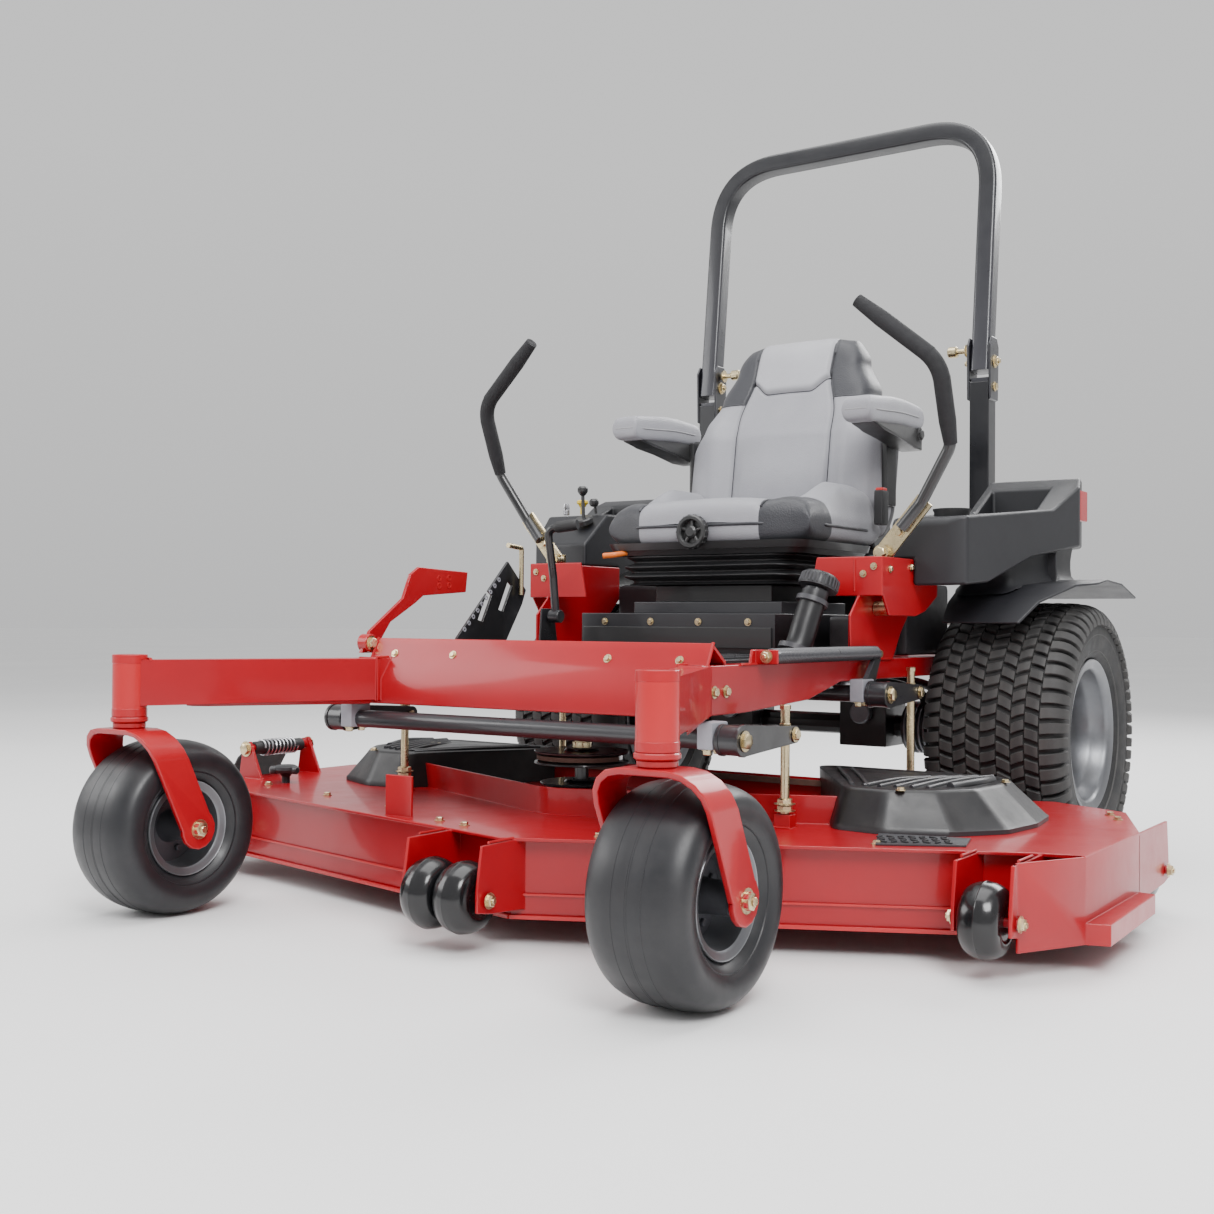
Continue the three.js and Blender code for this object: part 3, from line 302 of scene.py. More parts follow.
def dress(node, mats, width=1.6, segments=2, angle=32, pick=None, tail="skin"):
    """A softened copy of a CAD node with rounded edges, standing in its place."""
    me = NODES[node].data.copy()
    me.materials.clear()
    bm = bmesh.new()
    bm.from_mesh(me)
    bmesh.ops.remove_doubles(bm, verts=bm.verts, dist=0.00025)
    bmesh.ops.dissolve_limit(bm, angle_limit=math.radians(1.2), verts=bm.verts, edges=bm.edges)
    bmesh.ops.recalc_face_normals(bm, faces=bm.faces)
    bm.to_mesh(me)
    bm.free()
    name = f"{node}_{tail}"
    me.name = name
    ob = settle(name, me, None, mats, 180)
    bevel = ob.modifiers.new("round", "BEVEL")
    bevel.width = width * 0.001
    bevel.segments = segments
    bevel.limit_method = "ANGLE"
    bevel.angle_limit = math.radians(angle)
    bevel.use_clamp_overlap = False
    bevel.loop_slide = True
    weighted = ob.modifiers.new("even", "WEIGHTED_NORMAL")
    weighted.keep_sharp = True
    freeze(ob)
    if pick:
        for polygon in ob.data.polygons:
            polygon.material_index = pick(polygon.center * 1000, polygon.normal)
    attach(ob, NODE_BODY[node])
    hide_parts(node)
    return ob


def spline(points, steps=6, closed=False):
    """A smooth curve through the points (Catmull-Rom)."""
    pts = [Vector(p) for p in points]
    n = len(pts)
    out = []
    spans = n if closed else n - 1
    for i in range(spans):
        if closed:
            a, b, c, d = pts[(i - 1) % n], pts[i], pts[(i + 1) % n], pts[(i + 2) % n]
        else:
            b, c = pts[i], pts[i + 1]
            a = pts[i - 1] if i else b * 2 - c
            d = pts[i + 2] if i + 2 < n else c * 2 - b
        for k in range(steps):
            t = k / steps
            out.append(0.5 * ((2 * b) + (c - a) * t + (2 * a - 5 * b + 4 * c - d) * t * t
                              + (3 * b - 3 * c + d - a) * t ** 3))
    if not closed:
        out.append(pts[-1])
    return out


def turned_corner(a, b, c, radius, steps, most):
    """Points round the corner b of a path; it uses at most the given share of each side."""
    u, w = (a - b).normalized(), (c - b).normalized()
    back = min(radius / math.tan(u.angle(w) / 2), (a - b).length * most, (c - b).length * most)
    start, end = b + u * back, b + w * back
    shares = [k / steps for k in range(steps + 1)]
    return [start * (1 - t) ** 2 + b * 2 * t * (1 - t) + end * t * t for t in shares]


def rounded(points, radius, steps=5):
    """An open path with its corners turned at a radius."""
    pts = [Vector(p) for p in points]
    out = [pts[0]]
    for a, b, c in zip(pts, pts[1:], pts[2:]):
        out += turned_corner(a, b, c, radius, steps, 0.49)
    return out + [pts[-1]]


def rounded_loop(points, radius, steps=6):
    """A closed outline with its corners turned at a radius, as (x, y) pairs."""
    pts = [Vector((x, y, 0)) for x, y in points]
    out = []
    for i, b in enumerate(pts):
        out += turned_corner(pts[i - 1], b, pts[(i + 1) % len(pts)], radius, steps, 0.48)
    return [(p.x, p.y) for p in out]


def skin(bm, rows, shut=True):
    """Faces between closed rings of points, with the two end rings filled."""
    n = len(rows[0])
    for a, b in zip(rows, rows[1:]):
        for k in range(n):
            bm.faces.new((a[k], a[(k + 1) % n], b[(k + 1) % n], b[k]))
    if shut:
        bm.faces.new(rows[0][::-1])
        bm.faces.new(rows[-1])


def sweep(bm, path, section, closed_ends=True, twist_up=None):
    """A closed section carried along a path without twisting."""
    pts = [Vector(p) for p in path]
    count = len(pts)
    tangent = [(pts[min(i + 1, count - 1)] - pts[max(i - 1, 0)]).normalized() for i in range(count)]
    up = Vector(twist_up) if twist_up else Vector((0, 0, 1))
    if abs(tangent[0].dot(up)) > 0.95:
        up = Vector((0, 1, 0))
    side = tangent[0].cross(up).normalized()
    rings = []
    for i, p in enumerate(pts):
        side = (side - tangent[i] * side.dot(tangent[i])).normalized()
        rise = side.cross(tangent[i])
        cut = section(i / (count - 1)) if callable(section) else section
        rings.append([bm.verts.new(p + side * a + rise * b) for a, b in cut])
    skin(bm, rings, closed_ends)


def ring(radius, sides=20):
    return [(radius * math.cos(2 * math.pi * k / sides), radius * math.sin(2 * math.pi * k / sides))
            for k in range(sides)]


def rod(bm, a, b, radius, sides=24, chamfer=0.0, end=None):
    """A straight round bar between two points, its ends chamfered."""
    a, b = Vector(a), Vector(b)
    end = radius if end is None else end
    if chamfer:
        along = (b - a).normalized() * chamfer
        path = [a, a + along, b - along, b]
        radii = [radius - chamfer, radius, end, end - chamfer]
    else:
        path, radii = [a, b], [radius, end]
    index = {i / (len(path) - 1): ring(r, sides) for i, r in enumerate(radii)}
    sweep(bm, path, lambda t: index[t])


def turn(bm, profile, centre, axis=(1, 0, 0), sides=72, closed=True):
    """A profile of (radius, offset) turned round an axis, in metres."""
    axis = Vector(axis).normalized()
    u = axis.orthogonal().normalized()
    w = axis.cross(u)
    centre = Vector(centre)
    rows = []
    for r, along in profile:
        if r < 1e-6:
            rows.append([bm.verts.new(centre + axis * along)])
            continue
        rows.append([bm.verts.new(centre + axis * along
                                  + (u * math.cos(2 * math.pi * k / sides)
                                     + w * math.sin(2 * math.pi * k / sides)) * r) for k in range(sides)])
    pairs = list(zip(rows, rows[1:]))
    if closed:
        pairs.append((rows[-1], rows[0]))
    for a, b in pairs:
        for k in range(sides):
            k2 = (k + 1) % sides
            corners = []
            for v in (a[k % len(a)], a[k2 % len(a)], b[k2 % len(b)], b[k % len(b)]):
                if v not in corners:
                    corners.append(v)
            if len(corners) > 2:
                bm.faces.new(corners)


def mm(profile):
    return [(r * 0.001, o * 0.001) for r, o in profile]


def block(bm, low, high, chamfer=1.5, matrix=None):
    """A box with chamfered edges, in millimetres."""
    made = bmesh.ops.create_cube(bm, size=1.0)
    size = [(h - l) * 0.001 for l, h in zip(low, high)]
    middle = [(h + l) * 0.0005 for l, h in zip(low, high)]
    for v in made["verts"]:
        v.co = Vector([c * s + m for c, s, m in zip(v.co, size, middle)])
    edges = list({e for v in made["verts"] for e in v.link_edges})
    result = bmesh.ops.bevel(bm, geom=edges, offset=min(chamfer * 0.001, min(size) * 0.45),
                             segments=2, profile=0.6, affect="EDGES")
    if matrix:
        verts = list({v for f in result["faces"] for v in f.verts}
                     | {v for v in made["verts"] if v.is_valid})
        bmesh.ops.transform(bm, matrix=matrix, verts=verts)


def plate(bm, outline, normal_axis, at, thick, chamfer=0.8):
    """A flat plate cut to an outline. normal_axis 0 uses (y, z), 1 uses (x, z), 2 uses (x, y)."""
    def point(u, v, n):
        values = {0: (n, u, v), 1: (u, n, v), 2: (u, v, n)}[normal_axis]
        return P(*values)
    low = [bm.verts.new(point(u, v, at)) for u, v in outline]
    high = [bm.verts.new(point(u, v, at + thick)) for u, v in outline]
    faces = [bm.faces.new(low[::-1]), bm.faces.new(high)]
    n = len(outline)
    for k in range(n):
        faces.append(bm.faces.new((low[k], low[(k + 1) % n], high[(k + 1) % n], high[k])))
    if chamfer:
        edges = list(set(faces[0].edges) | set(faces[1].edges))
        bmesh.ops.bevel(bm, geom=edges, offset=chamfer * 0.001, segments=2, profile=0.6, affect="EDGES")


def hexagon(bm, at, axis, size=8.0, height=6.0, washer=True, stud=0.0):
    """A hex head with its washer, standing on a surface."""
    axis = Vector(axis).normalized()
    at = Vector(at)
    if washer:
        turn(bm, mm([(0, 0), (size * 1.35, 0), (size * 1.35, 1.4), (0, 1.4)]), at, axis, 20, False)
    base = at + axis * 0.0012
    u = axis.orthogonal().normalized()
    w = axis.cross(u)
    rows = []
    for r, h in ((size, 0), (size, height - 1.2), (size * 0.84, height)):
        rows.append([bm.verts.new(base + axis * h * 0.001 + (u * math.cos(math.pi * k / 3)
                                                               + w * math.sin(math.pi * k / 3)) * r * 0.001)
                     for k in range(6)])
    skin(bm, rows)
    if stud:
        rod(bm, base, base + axis * (height + stud) * 0.001, size * 0.0005, 12, 0.0008)


BOLTS = {}


def bolt(body, at, axis, size=7.0, height=5.5, mat="zinc", washer=True, stud=0.0):
    """Heads are gathered into one piece for each body and finish."""
    bm = BOLTS.setdefault((body, mat), bmesh.new())
    hexagon(bm, P(*at), axis, size, height, washer, stud)


def coil(bm, centre, radius, per, turns, pitch, wire):
    """A spring along y: points per turn, turns, advance per point and the wire's section."""
    x, y, z = centre
    path = []
    for k in range(turns * per + 1):
        a = 2 * math.pi * k / per
        path.append(P(x + radius * math.cos(a), y + k * pitch, z + radius * math.sin(a)))
    sweep(bm, path, wire)


def bead(bm, a, b, radius=3.2):
    """A weld bead: short overlapping ripples from one point to another, in millimetres."""
    a, b = P(*a), P(*b)
    count = max(2, int((b - a).length / (radius * 0.0011)))
    path = [a.lerp(b, k / count) for k in range(count + 1)]
    r = radius * 0.001
    sweep(bm, path, lambda t: ring(r * (0.82 + 0.2 * abs(math.sin(t * count * 1.57))), 8))


# ---------------------------------------------------------------- camera, light, floor

CAMERA_AT = Vector((1.6224, -2.6760, 0.5432))
AZIMUTH, PITCH, ROLL = math.radians(34.4), math.radians(0.6), math.radians(0.4)
forward = Vector((-math.sin(AZIMUTH) * math.cos(PITCH), math.cos(AZIMUTH) * math.cos(PITCH),
                  math.sin(PITCH)))
across = Vector((math.cos(AZIMUTH), math.sin(AZIMUTH), 0))
rise = across.cross(forward)
across_rolled = across * math.cos(ROLL) + rise * math.sin(ROLL)
rise_rolled = rise * math.cos(ROLL) - across * math.sin(ROLL)
camera = bpy.data.objects.new("camera", bpy.data.cameras.new("camera"))
camera.data.lens = 42.58
camera.data.sensor_width = 36
camera.data.clip_start = 0.05
camera.matrix_world = Matrix((
    (across_rolled.x, rise_rolled.x, -forward.x, CAMERA_AT.x),
    (across_rolled.y, rise_rolled.y, -forward.y, CAMERA_AT.y),
    (across_rolled.z, rise_rolled.z, -forward.z, CAMERA_AT.z),
    (0, 0, 0, 1),
))
bpy.context.scene.collection.objects.link(camera)
bpy.context.scene.camera = camera

world = bpy.data.worlds.new("studio")
bpy.context.scene.world = world
world.use_nodes = True
sky = world.node_tree
sky_ramp = sky.nodes.new("ShaderNodeValToRGB")
sky_ramp.color_ramp.elements[0].position = 0.0
sky_ramp.color_ramp.elements[0].color = (0.82, 0.82, 0.825, 1)
sky_ramp.color_ramp.elements[1].position = 0.30
sky_ramp.color_ramp.elements[1].color = (1, 1, 1, 1)
sky_split = sky.nodes.new("ShaderNodeSeparateXYZ")
sky.links.new(sky.nodes.new("ShaderNodeTexCoord").outputs["Generated"], sky_split.inputs["Vector"])
sky.links.new(sky_split.outputs["Z"], sky_ramp.inputs["Fac"])
sky.links.new(sky_ramp.outputs["Color"], sky.nodes["Background"].inputs["Color"])
sky.nodes["Background"].inputs["Strength"].default_value = 0.85


def soft_light(name, at, target, size, power):
    lamp = bpy.data.lights.new(name, "AREA")
    lamp.shape = "RECTANGLE"
    lamp.size, lamp.size_y = size
    lamp.energy = power
    ob = bpy.data.objects.new(name, lamp)
    ob.location = at
    ob.rotation_mode = "QUATERNION"
    ob.rotation_quaternion = (Vector(target) - Vector(at)).to_track_quat("-Z", "Y")
    bpy.context.scene.collection.objects.link(ob)


soft_light("key", (3.2, -3.4, 4.2), (0, 0, 0.5), (2.2, 2.2), 330)
soft_light("fill", (-4.2, -2.8, 2.6), (0, 0, 0.6), (3.0, 2.4), 120)
soft_light("rear", (1.0, 4.4, 3.6), (0, 0, 0.8), (3.6, 2.0), 230)
soft_light("top", (0, -0.4, 4.8), (0, 0, 0), (4.0, 4.0), 210)

bm = bmesh.new()
bmesh.ops.create_grid(bm, x_segments=8, y_segments=8, size=70)
floor_mat = Graph("floor_pale")
floor_mat.link(floor_mat.ramp(floor_mat.noise(0.6, 3),
                              [(0.3, (0.80, 0.80, 0.805)), (0.7, (0.84, 0.84, 0.84))]),
               floor_mat.bsdf.inputs["Base Color"])
floor_mat.set(Roughness=0.62)
floor_mat.bump([(floor_mat.noise(90, 3), 0.03, 0.001)])
floor = place("floor", bm, None, floor_mat.mat)
floor.location.z = -0.0004

# ---------------------------------------------------------------- main frame

dress("main_frame", RED, 2.2)
CASTER_X, STEM_Y, CASTER_AXLE = 567.5, -1011, (-929, 160)
bm = bmesh.new()
for s in (1, -1):
    # the collars of each spindle tube, upper and lower, and the tube's skin between them
    stem, r = P(s * CASTER_X, STEM_Y, 0), 31.2
    for z0, z1 in ((462, 478.4), (366, 381)):
        turn(bm, mm([(24, z0), (r - 1, z0), (r, z0 + 1), (r, z1 - 1), (r - 1, z1), (24, z1)]),
             stem, (0, 0, 1), 48)
    turn(bm, mm([(29, 380), (30.6, 380), (30.6, 463), (29, 463)]), stem, (0, 0, 1), 48)
place("spindle_collars", bm, "chassis", RED, "red_paint")

bm = bmesh.new()
for s in (1, -1):
    bead(bm, (s * 528, -996, 470), (s * 566, -974, 470), 3.4)
    bead(bm, (s * 541, -1012, 390), (s * 541, -1012, 468), 3.0)
    bead(bm, (s * 388, -592, 386), (s * 388, -592, 430), 3.2)
    bead(bm, (s * 388, -590, 430), (s * 388, -551, 509), 3.2)
    bead(bm, (s * 346, -600, 471), (s * 346, -470, 471), 3.0)
    bead(bm, (s * 396, -470, 470), (s * 396, -330, 470), 2.6)
    bead(bm, (s * 396, -12, 470), (s * 396, 180, 470), 3.0)
    bead(bm, (s * 386, 22, 610), (s * 386, 22, 676), 2.4)
place("frame_beads", bm, "chassis", RED, "red_paint")

# flanges along the foot and the rear edge of the cross member
bm = bmesh.new()
block(bm, (-384, -583, 379), (384, -556, 384), 1.2)
block(bm, (-384, -508, 470), (384, -500, 478), 1.2)
place("sill_flange", bm, "chassis", RED, "red_paint", 35, True)

for x in (-330, -180, 180, 330):
    bolt("chassis", (x, -566, 478), (0, -0.9, 0.43), 6.0, 4.0)
for s in (1, -1):
    for x, z in ((s * 405, 645), (s * 428, 660)):
        bolt("chassis", (x, 21.5, z), (0, -1, 0), 5.5, 4.0)
    for y, z in ((60, 655), (170, 662), (262, 640)):
        bolt("chassis", (s * 446.5, y, z), (s, 0, 0), 6.0, 4.5)
    for y in (-560, -520):
        bolt("chassis", (s * 395.5, y, 425), (s, 0, 0), 8.0, 6.0)

# bearing blocks of the two lift shafts
FRONT_SHAFT, REAR_SHAFT = (-592, 348), (5, 402)
bm = bmesh.new()
for s in (1, -1):
    for y, z in (FRONT_SHAFT, REAR_SHAFT):
        x0, x1 = (s * 396, s * 426) if s > 0 else (s * 426, s * 396)
        block(bm, (x0, y - 27, z - 16), (x1, y + 27, z + 30), 3.5)
place("bearing_blocks", bm, "chassis", CAST, None, 35, True)
for s in (1, -1):
    for y, z in (FRONT_SHAFT, REAR_SHAFT):
        for dy in (-17, 17):
            bolt("chassis", (s * 411, y + dy, z - 16), (0, 0, -1), 7.0, 8.0)

# ---------------------------------------------------------------- casters


def mirrored_profile(half):
    return half + [(r, -o) for r, o in reversed(half)]


tyre_half = spline([(76, 59, 0), (86, 60, 0), (98, 71, 0), (113, 79.5, 0), (129, 82, 0), (143, 77, 0),
                    (153, 63, 0), (158.6, 42, 0), (160, 20, 0), (160, 4, 0)], 5)
for label, s in SIDES:
    body = f"caster_wheel_{label}"
    hub = P(s * CASTER_X, *CASTER_AXLE)
    bm = bmesh.new()
    turn(bm, mm(mirrored_profile([(p.x, p.y) for p in tyre_half])), hub, (1, 0, 0), 112)
    for off in (73.6, -73.6):
        turn(bm, mm([(101, off - 1.6), (102.4, off + (1.6 if off > 0 else -1.2)),
                     (104, off + (1.9 if off > 0 else -1.9)),
                     (105.4, off), (104, off - 3)]), hub, (1, 0, 0), 96)
    for off in (1.6, -1.6, 24, -24):
        turn(bm, mm([(159.2, off - 0.8), (160.35, off), (159.2, off + 0.8)]), hub, (1, 0, 0), 112)
    tyre = place(f"caster_tyre_{label}_moulded", bm, body, SMOOTH_TYRE, "tyre")
    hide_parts(f"caster_tyre_{label}")
    bm = bmesh.new()
    outer = [(66, 12), (69, 24), (71, 44), (72.6, 60), (77, 63.5), (84, 64.6), (86.4, 66.6), (87.4, 65),
             (87.2, 61.5), (84, 60), (75.2, 58.8)]
    turn(bm, mm(mirrored_profile(outer)), hub, (1, 0, 0), 96)
    place(f"caster_rim_{label}_rolled", bm, body, RIM, "steel")
    bm = bmesh.new()
    turn(bm, mm([(10, 78), (22, 78), (24.4, 76), (24.8, 40), (27, 20), (31, 13), (66.4, 12), (66.4, -12),
                 (31, -13),
                 (27, -20), (24.8, -40), (24.4, -76), (22, -78), (10, -78)]), hub, (1, 0, 0), 72)
    for k in range(4):
        a = k * math.pi / 2 + 0.4
        at = hub + Vector((0.0115, 0.046 * math.cos(a), 0.046 * math.sin(a)))
        hexagon(bm, at, (1, 0, 0), 6.5, 6, True)
        hexagon(bm, at - Vector((0.023, 0, 0)), (-1, 0, 0), 6.5, 6, True)
    rod(bm, hub + Vector((0.013 * s, 0, 0.058)), hub + Vector((0.040 * s, 0, 0.064)), 0.0035, 12, 0.0006)
    rim = place(f"caster_hub_{label}", bm, body, HUB, "steel")
    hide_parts(f"caster_rim_{label}")
    dress(f"caster_fork_{label}", RED, 2.4)
    bm = bmesh.new()
    for z0, z1, r in ((356, 365.6, 33), (345, 356, 29)):
        turn(bm, mm([(16, z0), (r - 2, z0), (r, z0 + 2), (r, z1 - 2), (r - 2, z1), (16, z1)]),
             P(s * CASTER_X, STEM_Y, 0), (0, 0, 1), 48)
    place(f"fork_collar_{label}", bm, f"caster_{label}", RED, "red_paint")
    for e in (1, -1):
        bolt(f"caster_{label}", (s * CASTER_X + e * 96, *CASTER_AXLE), (e, 0, 0), 13.5, 9, "zinc", True, 4)

# ---------------------------------------------------------------- drive wheels

W, R = 150.0, 297.0  # half width and radius of the tyre
carcass = spline([(153, W - 26, 0), (166, W - 24, 0), (186, W - 9, 0), (212, W - 1, 0), (240, W, 0),
                  (262, W - 6, 0),
                  (277, W - 20, 0), (285, W - 42, 0), (287.6, W - 70, 0), (288.4, 40, 0), (288.6, 0.5, 0)],
                 4)
crown_path = spline([(246, 151, 0), (262, 147.5, 0), (276, 137, 0), (284, 120, 0), (287, 98, 0),
                     (288, 70, 0),
                     (288.3, 35, 0), (288.4, 0, 0)], 8)
crown_path = crown_path + [Vector((p.x, -p.y, 0)) for p in reversed(crown_path[:-1])]
crown_len = [0.0]
for a, b in zip(crown_path, crown_path[1:]):
    crown_len.append(crown_len[-1] + (b - a).length)


def on_crown(distance):
    """Radius, offset and outward normal at a distance along the tread's cross-section."""
    distance = max(0.0, min(crown_len[-1] - 0.01, distance))
    i = max(k for k, v in enumerate(crown_len[:-1]) if v <= distance)
    t = (distance - crown_len[i]) / (crown_len[i + 1] - crown_len[i])
    p = crown_path[i].lerp(crown_path[i + 1], t)
    d = (crown_path[min(i + 1, len(crown_path) - 1)] - crown_path[max(i - 1, 0)]).normalized()
    n = Vector((-d.y, d.x, 0))
    return p, n if n.dot(Vector((p.x - 150, p.y * 0.4, 0))) > 0 else -n


def lug(bm, hub, outward, s0, s1, angle, half, skew, height, bow=0.0, steps=4):
    """One tread block: a bar across the tread from s0 to s1, its sides sloped."""
    rows = []
    for k in range(steps + 1):
        t = k / steps
        inset = 1.4 if k in (0, steps) else 0.0
        p, n = on_crown(s0 + (s1 - s0) * t)
        centre = angle + (skew * (t - 0.5) + bow * (0.25 - (t - 0.5) ** 2)) / R
        shoulder, top = height - 1.0 - inset, height - inset * 0.6
        row = []
        for lift, wide in ((-2.0, half + 1.2), (shoulder, half), (top, half - 1.3),
                           (top, 1.3 - half), (shoulder, -half), (-2.0, -half - 1.2)):
            r = (p.x + n.x * lift) * 0.001
            x = (p.y + n.y * lift) * 0.001 * outward
            a = centre + wide / R
            row.append(bm.verts.new(hub + Vector((x, -r * math.sin(a), r * math.cos(a)))))
        rows.append(row)
    for a, b in zip(rows, rows[1:]):
        for k in range(5):
            bm.faces.new((a[k], a[k + 1], b[k + 1], b[k]))
    bm.faces.new(rows[0][::-1])
    bm.faces.new(rows[-1])


middle = crown_len[-1] / 2
BLOCKS, BLOCK_HEIGHT = 56, 8.4
ROWS = (
    # from the middle line: start, end, half length, skew, phase, bow
    (-16, 16, 10.5, 9, 0.0, 5), (19, 47, 11, -12, 0.5, 4), (-47, -19, 11, -12, 0.5, -4),
    (50, 76, 11, 10, 0.0, 4), (-76, -50, 11, 10, 0.0, -4),
    (79, 106, 11, -8, 0.5, 3), (-106, -79, 11, -8, 0.5, -3),
    (109, 172, 11.5, 6, 0.0, 3), (-172, -109, 11.5, 6, 0.0, -3),
)
for label, s in SIDES:
    body = f"drive_wheel_{label}"
    hub = P(s * 567, 590, R)
    bm = bmesh.new()
    turn(bm, mm(mirrored_profile([(p.x, p.y) for p in carcass])), hub, (1, 0, 0), 128)
    for off, r in ((W - 0.8, 226), (W - 7.0, 190)):
        for e in (1, -1):
            turn(bm, mm([(r - 2.4, e * (off - 2)), (r - 1, e * (off + 1.4)), (r + 1, e * (off + 1.4)),
                         (r + 2.4, e * (off - 2))]),
                 hub, (1, 0, 0), 112)
    for start, end, half, skew, phase, bow in ROWS:
        for k in range(BLOCKS):
            angle = 2 * math.pi * (k + phase) / BLOCKS
            lug(bm, hub, s, middle + start, middle + end, angle, half, skew, BLOCK_HEIGHT, bow,
                6 if abs(start) > 100 or abs(end) > 160 else 3)
    tyre = place(f"drive_tyre_{label}_turf", bm, body, TYRE, "tyre", 40)
    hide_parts(f"drive_tyre_{label}")
    bm = bmesh.new()
    face = [(0, 0), (40, 0), (58, 0), (62, -3), (68, -15), (72, -18), (104, -18), (112, -16), (118, -8),
            (122, 20),
            (126, 60), (130, 88), (134, 96), (141, 108), (145, 122), (147, 129), (152, 133.5), (163, 135.4),
            (168.5, 137.6),
            (171, 136), (171, 133), (167, 131), (152.4, 125)]
    back = [(152.4, -125), (167, -131), (171, -133), (171, -136), (168.5, -137.6), (160, -134), (147, -129),
            (141, -100), (132, -30),
            (120, -27), (70, -27), (62, -14), (58, -10), (0, -10)]
    turn(bm, [(r * 0.001, o * 0.001 * s) for r, o in face + back], hub, (1, 0, 0), 112, False)
    rim = place(f"drive_rim_{label}_stamped", bm, body, RIM, "steel")
    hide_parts(f"drive_rim_{label}")
    bm = bmesh.new()
    turn(bm, [(r * 0.001, o * 0.001 * s) for r,
              o in ((0, 26), (22, 26), (26, 22), (28, 8), (34, 1), (0, 1))], hub,
         (1, 0, 0), 48, False)
    for k in range(5):
        a = 2 * math.pi * k / 5
        hexagon(bm, hub + Vector((0.0005 * s, 0.047 * math.cos(a), 0.047 * math.sin(a))), (s, 0, 0), 11, 14,
                True, 6)
    rod(bm, hub + Vector((0.06 * s, 0, 0.124)), hub + Vector((0.096 * s, 0, 0.110)), 0.0045, 12, 0.001)
    place(f"wheel_nuts_{label}", bm, body, ZINC, "zinc")

dress("hydro_drive", SHROUD, 2.0)
bm = bmesh.new()
for s in (1, -1):
    for k in range(6):
        x = s * (282 + k * 12)
        turn(bm, mm([(55, -2), (62, -2), (62, 2), (55, 2)]), P(x, 590, 297), (1, 0, 0), 40)
    rod(bm, P(s * 180, 520, 330), P(s * 180, 500, 330), 0.026, 32, 0.003)
place("motor_fins", bm, "chassis", ALLOY, None)
bm = bmesh.new()
for s in (1, -1):
    sweep(bm, spline([P(s * 200, 560, 372), P(s * 205, 520, 400), P(s * 262, 490, 405),
                      P(s * 318, 530, 384),
                      P(s * 322, 574, 348)], 6), ring(0.011, 14))
    sweep(bm, spline([P(s * 150, 610, 372), P(s * 148, 660, 398), P(s * 230, 700, 402),
                      P(s * 318, 650, 380),
                      P(s * 322, 606, 344)], 6), ring(0.011, 14))
place("hydraulic_hoses", bm, "chassis", HOSE, None)

# ---------------------------------------------------------------- deck

dress("deck_shell", RED, 1.4, 2, 34)
SPINDLE_AT = {"left": (624, -155), "centre": (20, -418), "right": (-584, -155)}
RODS = ((450, -404, 398), (-450, -404, 398), (450, 163, 452), (-450, 163, 452))
bm = bmesh.new()
# a flange at the foot of the front walls and a shallow rib above it
for a, b in (((127, -775), (905, -386)), ((-916, -555), (127, -775))):
    a, b = Vector(a), Vector(b)
    along = (b - a).normalized()
    out = Vector((along.y, -along.x))
    for z0, z1, deep in ((45, 52, 5.0), (84, 88, 2.2)):
        quad = [a + out * 0.2, b + out * 0.2, b + out * deep, a + out * deep]
        plate(bm, [(p.x, p.y) for p in quad], 2, z0, z1 - z0, 0.8)
place("wall_flanges", bm, "deck", RED, "red_paint", 35, True)
bm = bmesh.new()
for x, y in ((146, -860), (-12, -850), (905, -520), (815, -520), (-815, -640), (-905, -640)):
    bead(bm, (x, y + 70, 183.5), (x, y + 4, 183.5), 2.4)
for x, y, _ in RODS:
    bead(bm, (x - 17, y - 13, 184), (x + 17, y - 13, 184), 2.6)
    bead(bm, (x - 17, y + 13, 184), (x + 17, y + 13, 184), 2.6)
place("deck_beads", bm, "deck", RED, "red_paint")
for x, y in ((-90, -705), (-15, -725), (250, -690), (500, -560), (660, -485), (-300, -610), (-520, -560),
             (-760, -500),
             (900, 60), (870, 120), (-860, 30), (-300, 190), (0, 190), (300, 190)):
    bolt("deck", (x, y, 183), (0, 0, 1), 7.0, 5.5)
for x, y, e in ((154, -862, 1), (-20, -862, -1), (913, -530, 1), (807, -530, -1), (-807, -650, 1),
                (-913, -650, -1),
                (978, 112, 1), (872, 112, -1), (-797, 150, 1), (-903, 150, -1)):
    bolt("deck", (x, y, 91), (e, 0, 0), 10, 7, "zinc", True, 3)
for x, y in SPINDLE_AT.values():
    for k in range(6):
        a = k * math.pi / 3 + 0.3
        bolt("deck", (x + 38 * math.cos(a), y + 38 * math.sin(a), 206), (0, 0, 1), 5.0, 4.0)
# hanger rods with their nuts, one upright pin, then the baffle knob
bm = bmesh.new()
for x, y, top in RODS:
    rod(bm, P(x, y, 207), P(x, y, top + 1), 0.0082, 20, 0.001)
    for z in (212, 224):
        hexagon(bm, P(x, y, z), (0, 0, 1), 14, 9, True)
    for z in (top - 8, top - 40):
        hexagon(bm, P(x, y, z), (0, 0, 1), 10.5, 8, False)
rod(bm, P(-300, -373, 183), P(-300, -373, 205), 0.006, 14, 0.001)
place("hanger_rods", bm, "deck", ZINC, "zinc")
bm = bmesh.new()
turn(bm, mm([(0, 222), (20, 222), (27, 218), (28, 212), (24, 206), (14, 203), (9, 196), (9, 183),
             (0, 183)]),
     P(-760, -450, 0), (0, 0, 1), 40, False)
for k in range(3):
    a = 2 * math.pi * k / 3
    rod(bm, P(-760, -450, 212), P(-760 + 36 * math.cos(a), -450 + 36 * math.sin(a), 212), 0.009, 20, 0.003)
place("chute_knob", bm, "deck", COVER, "dark_plastic")

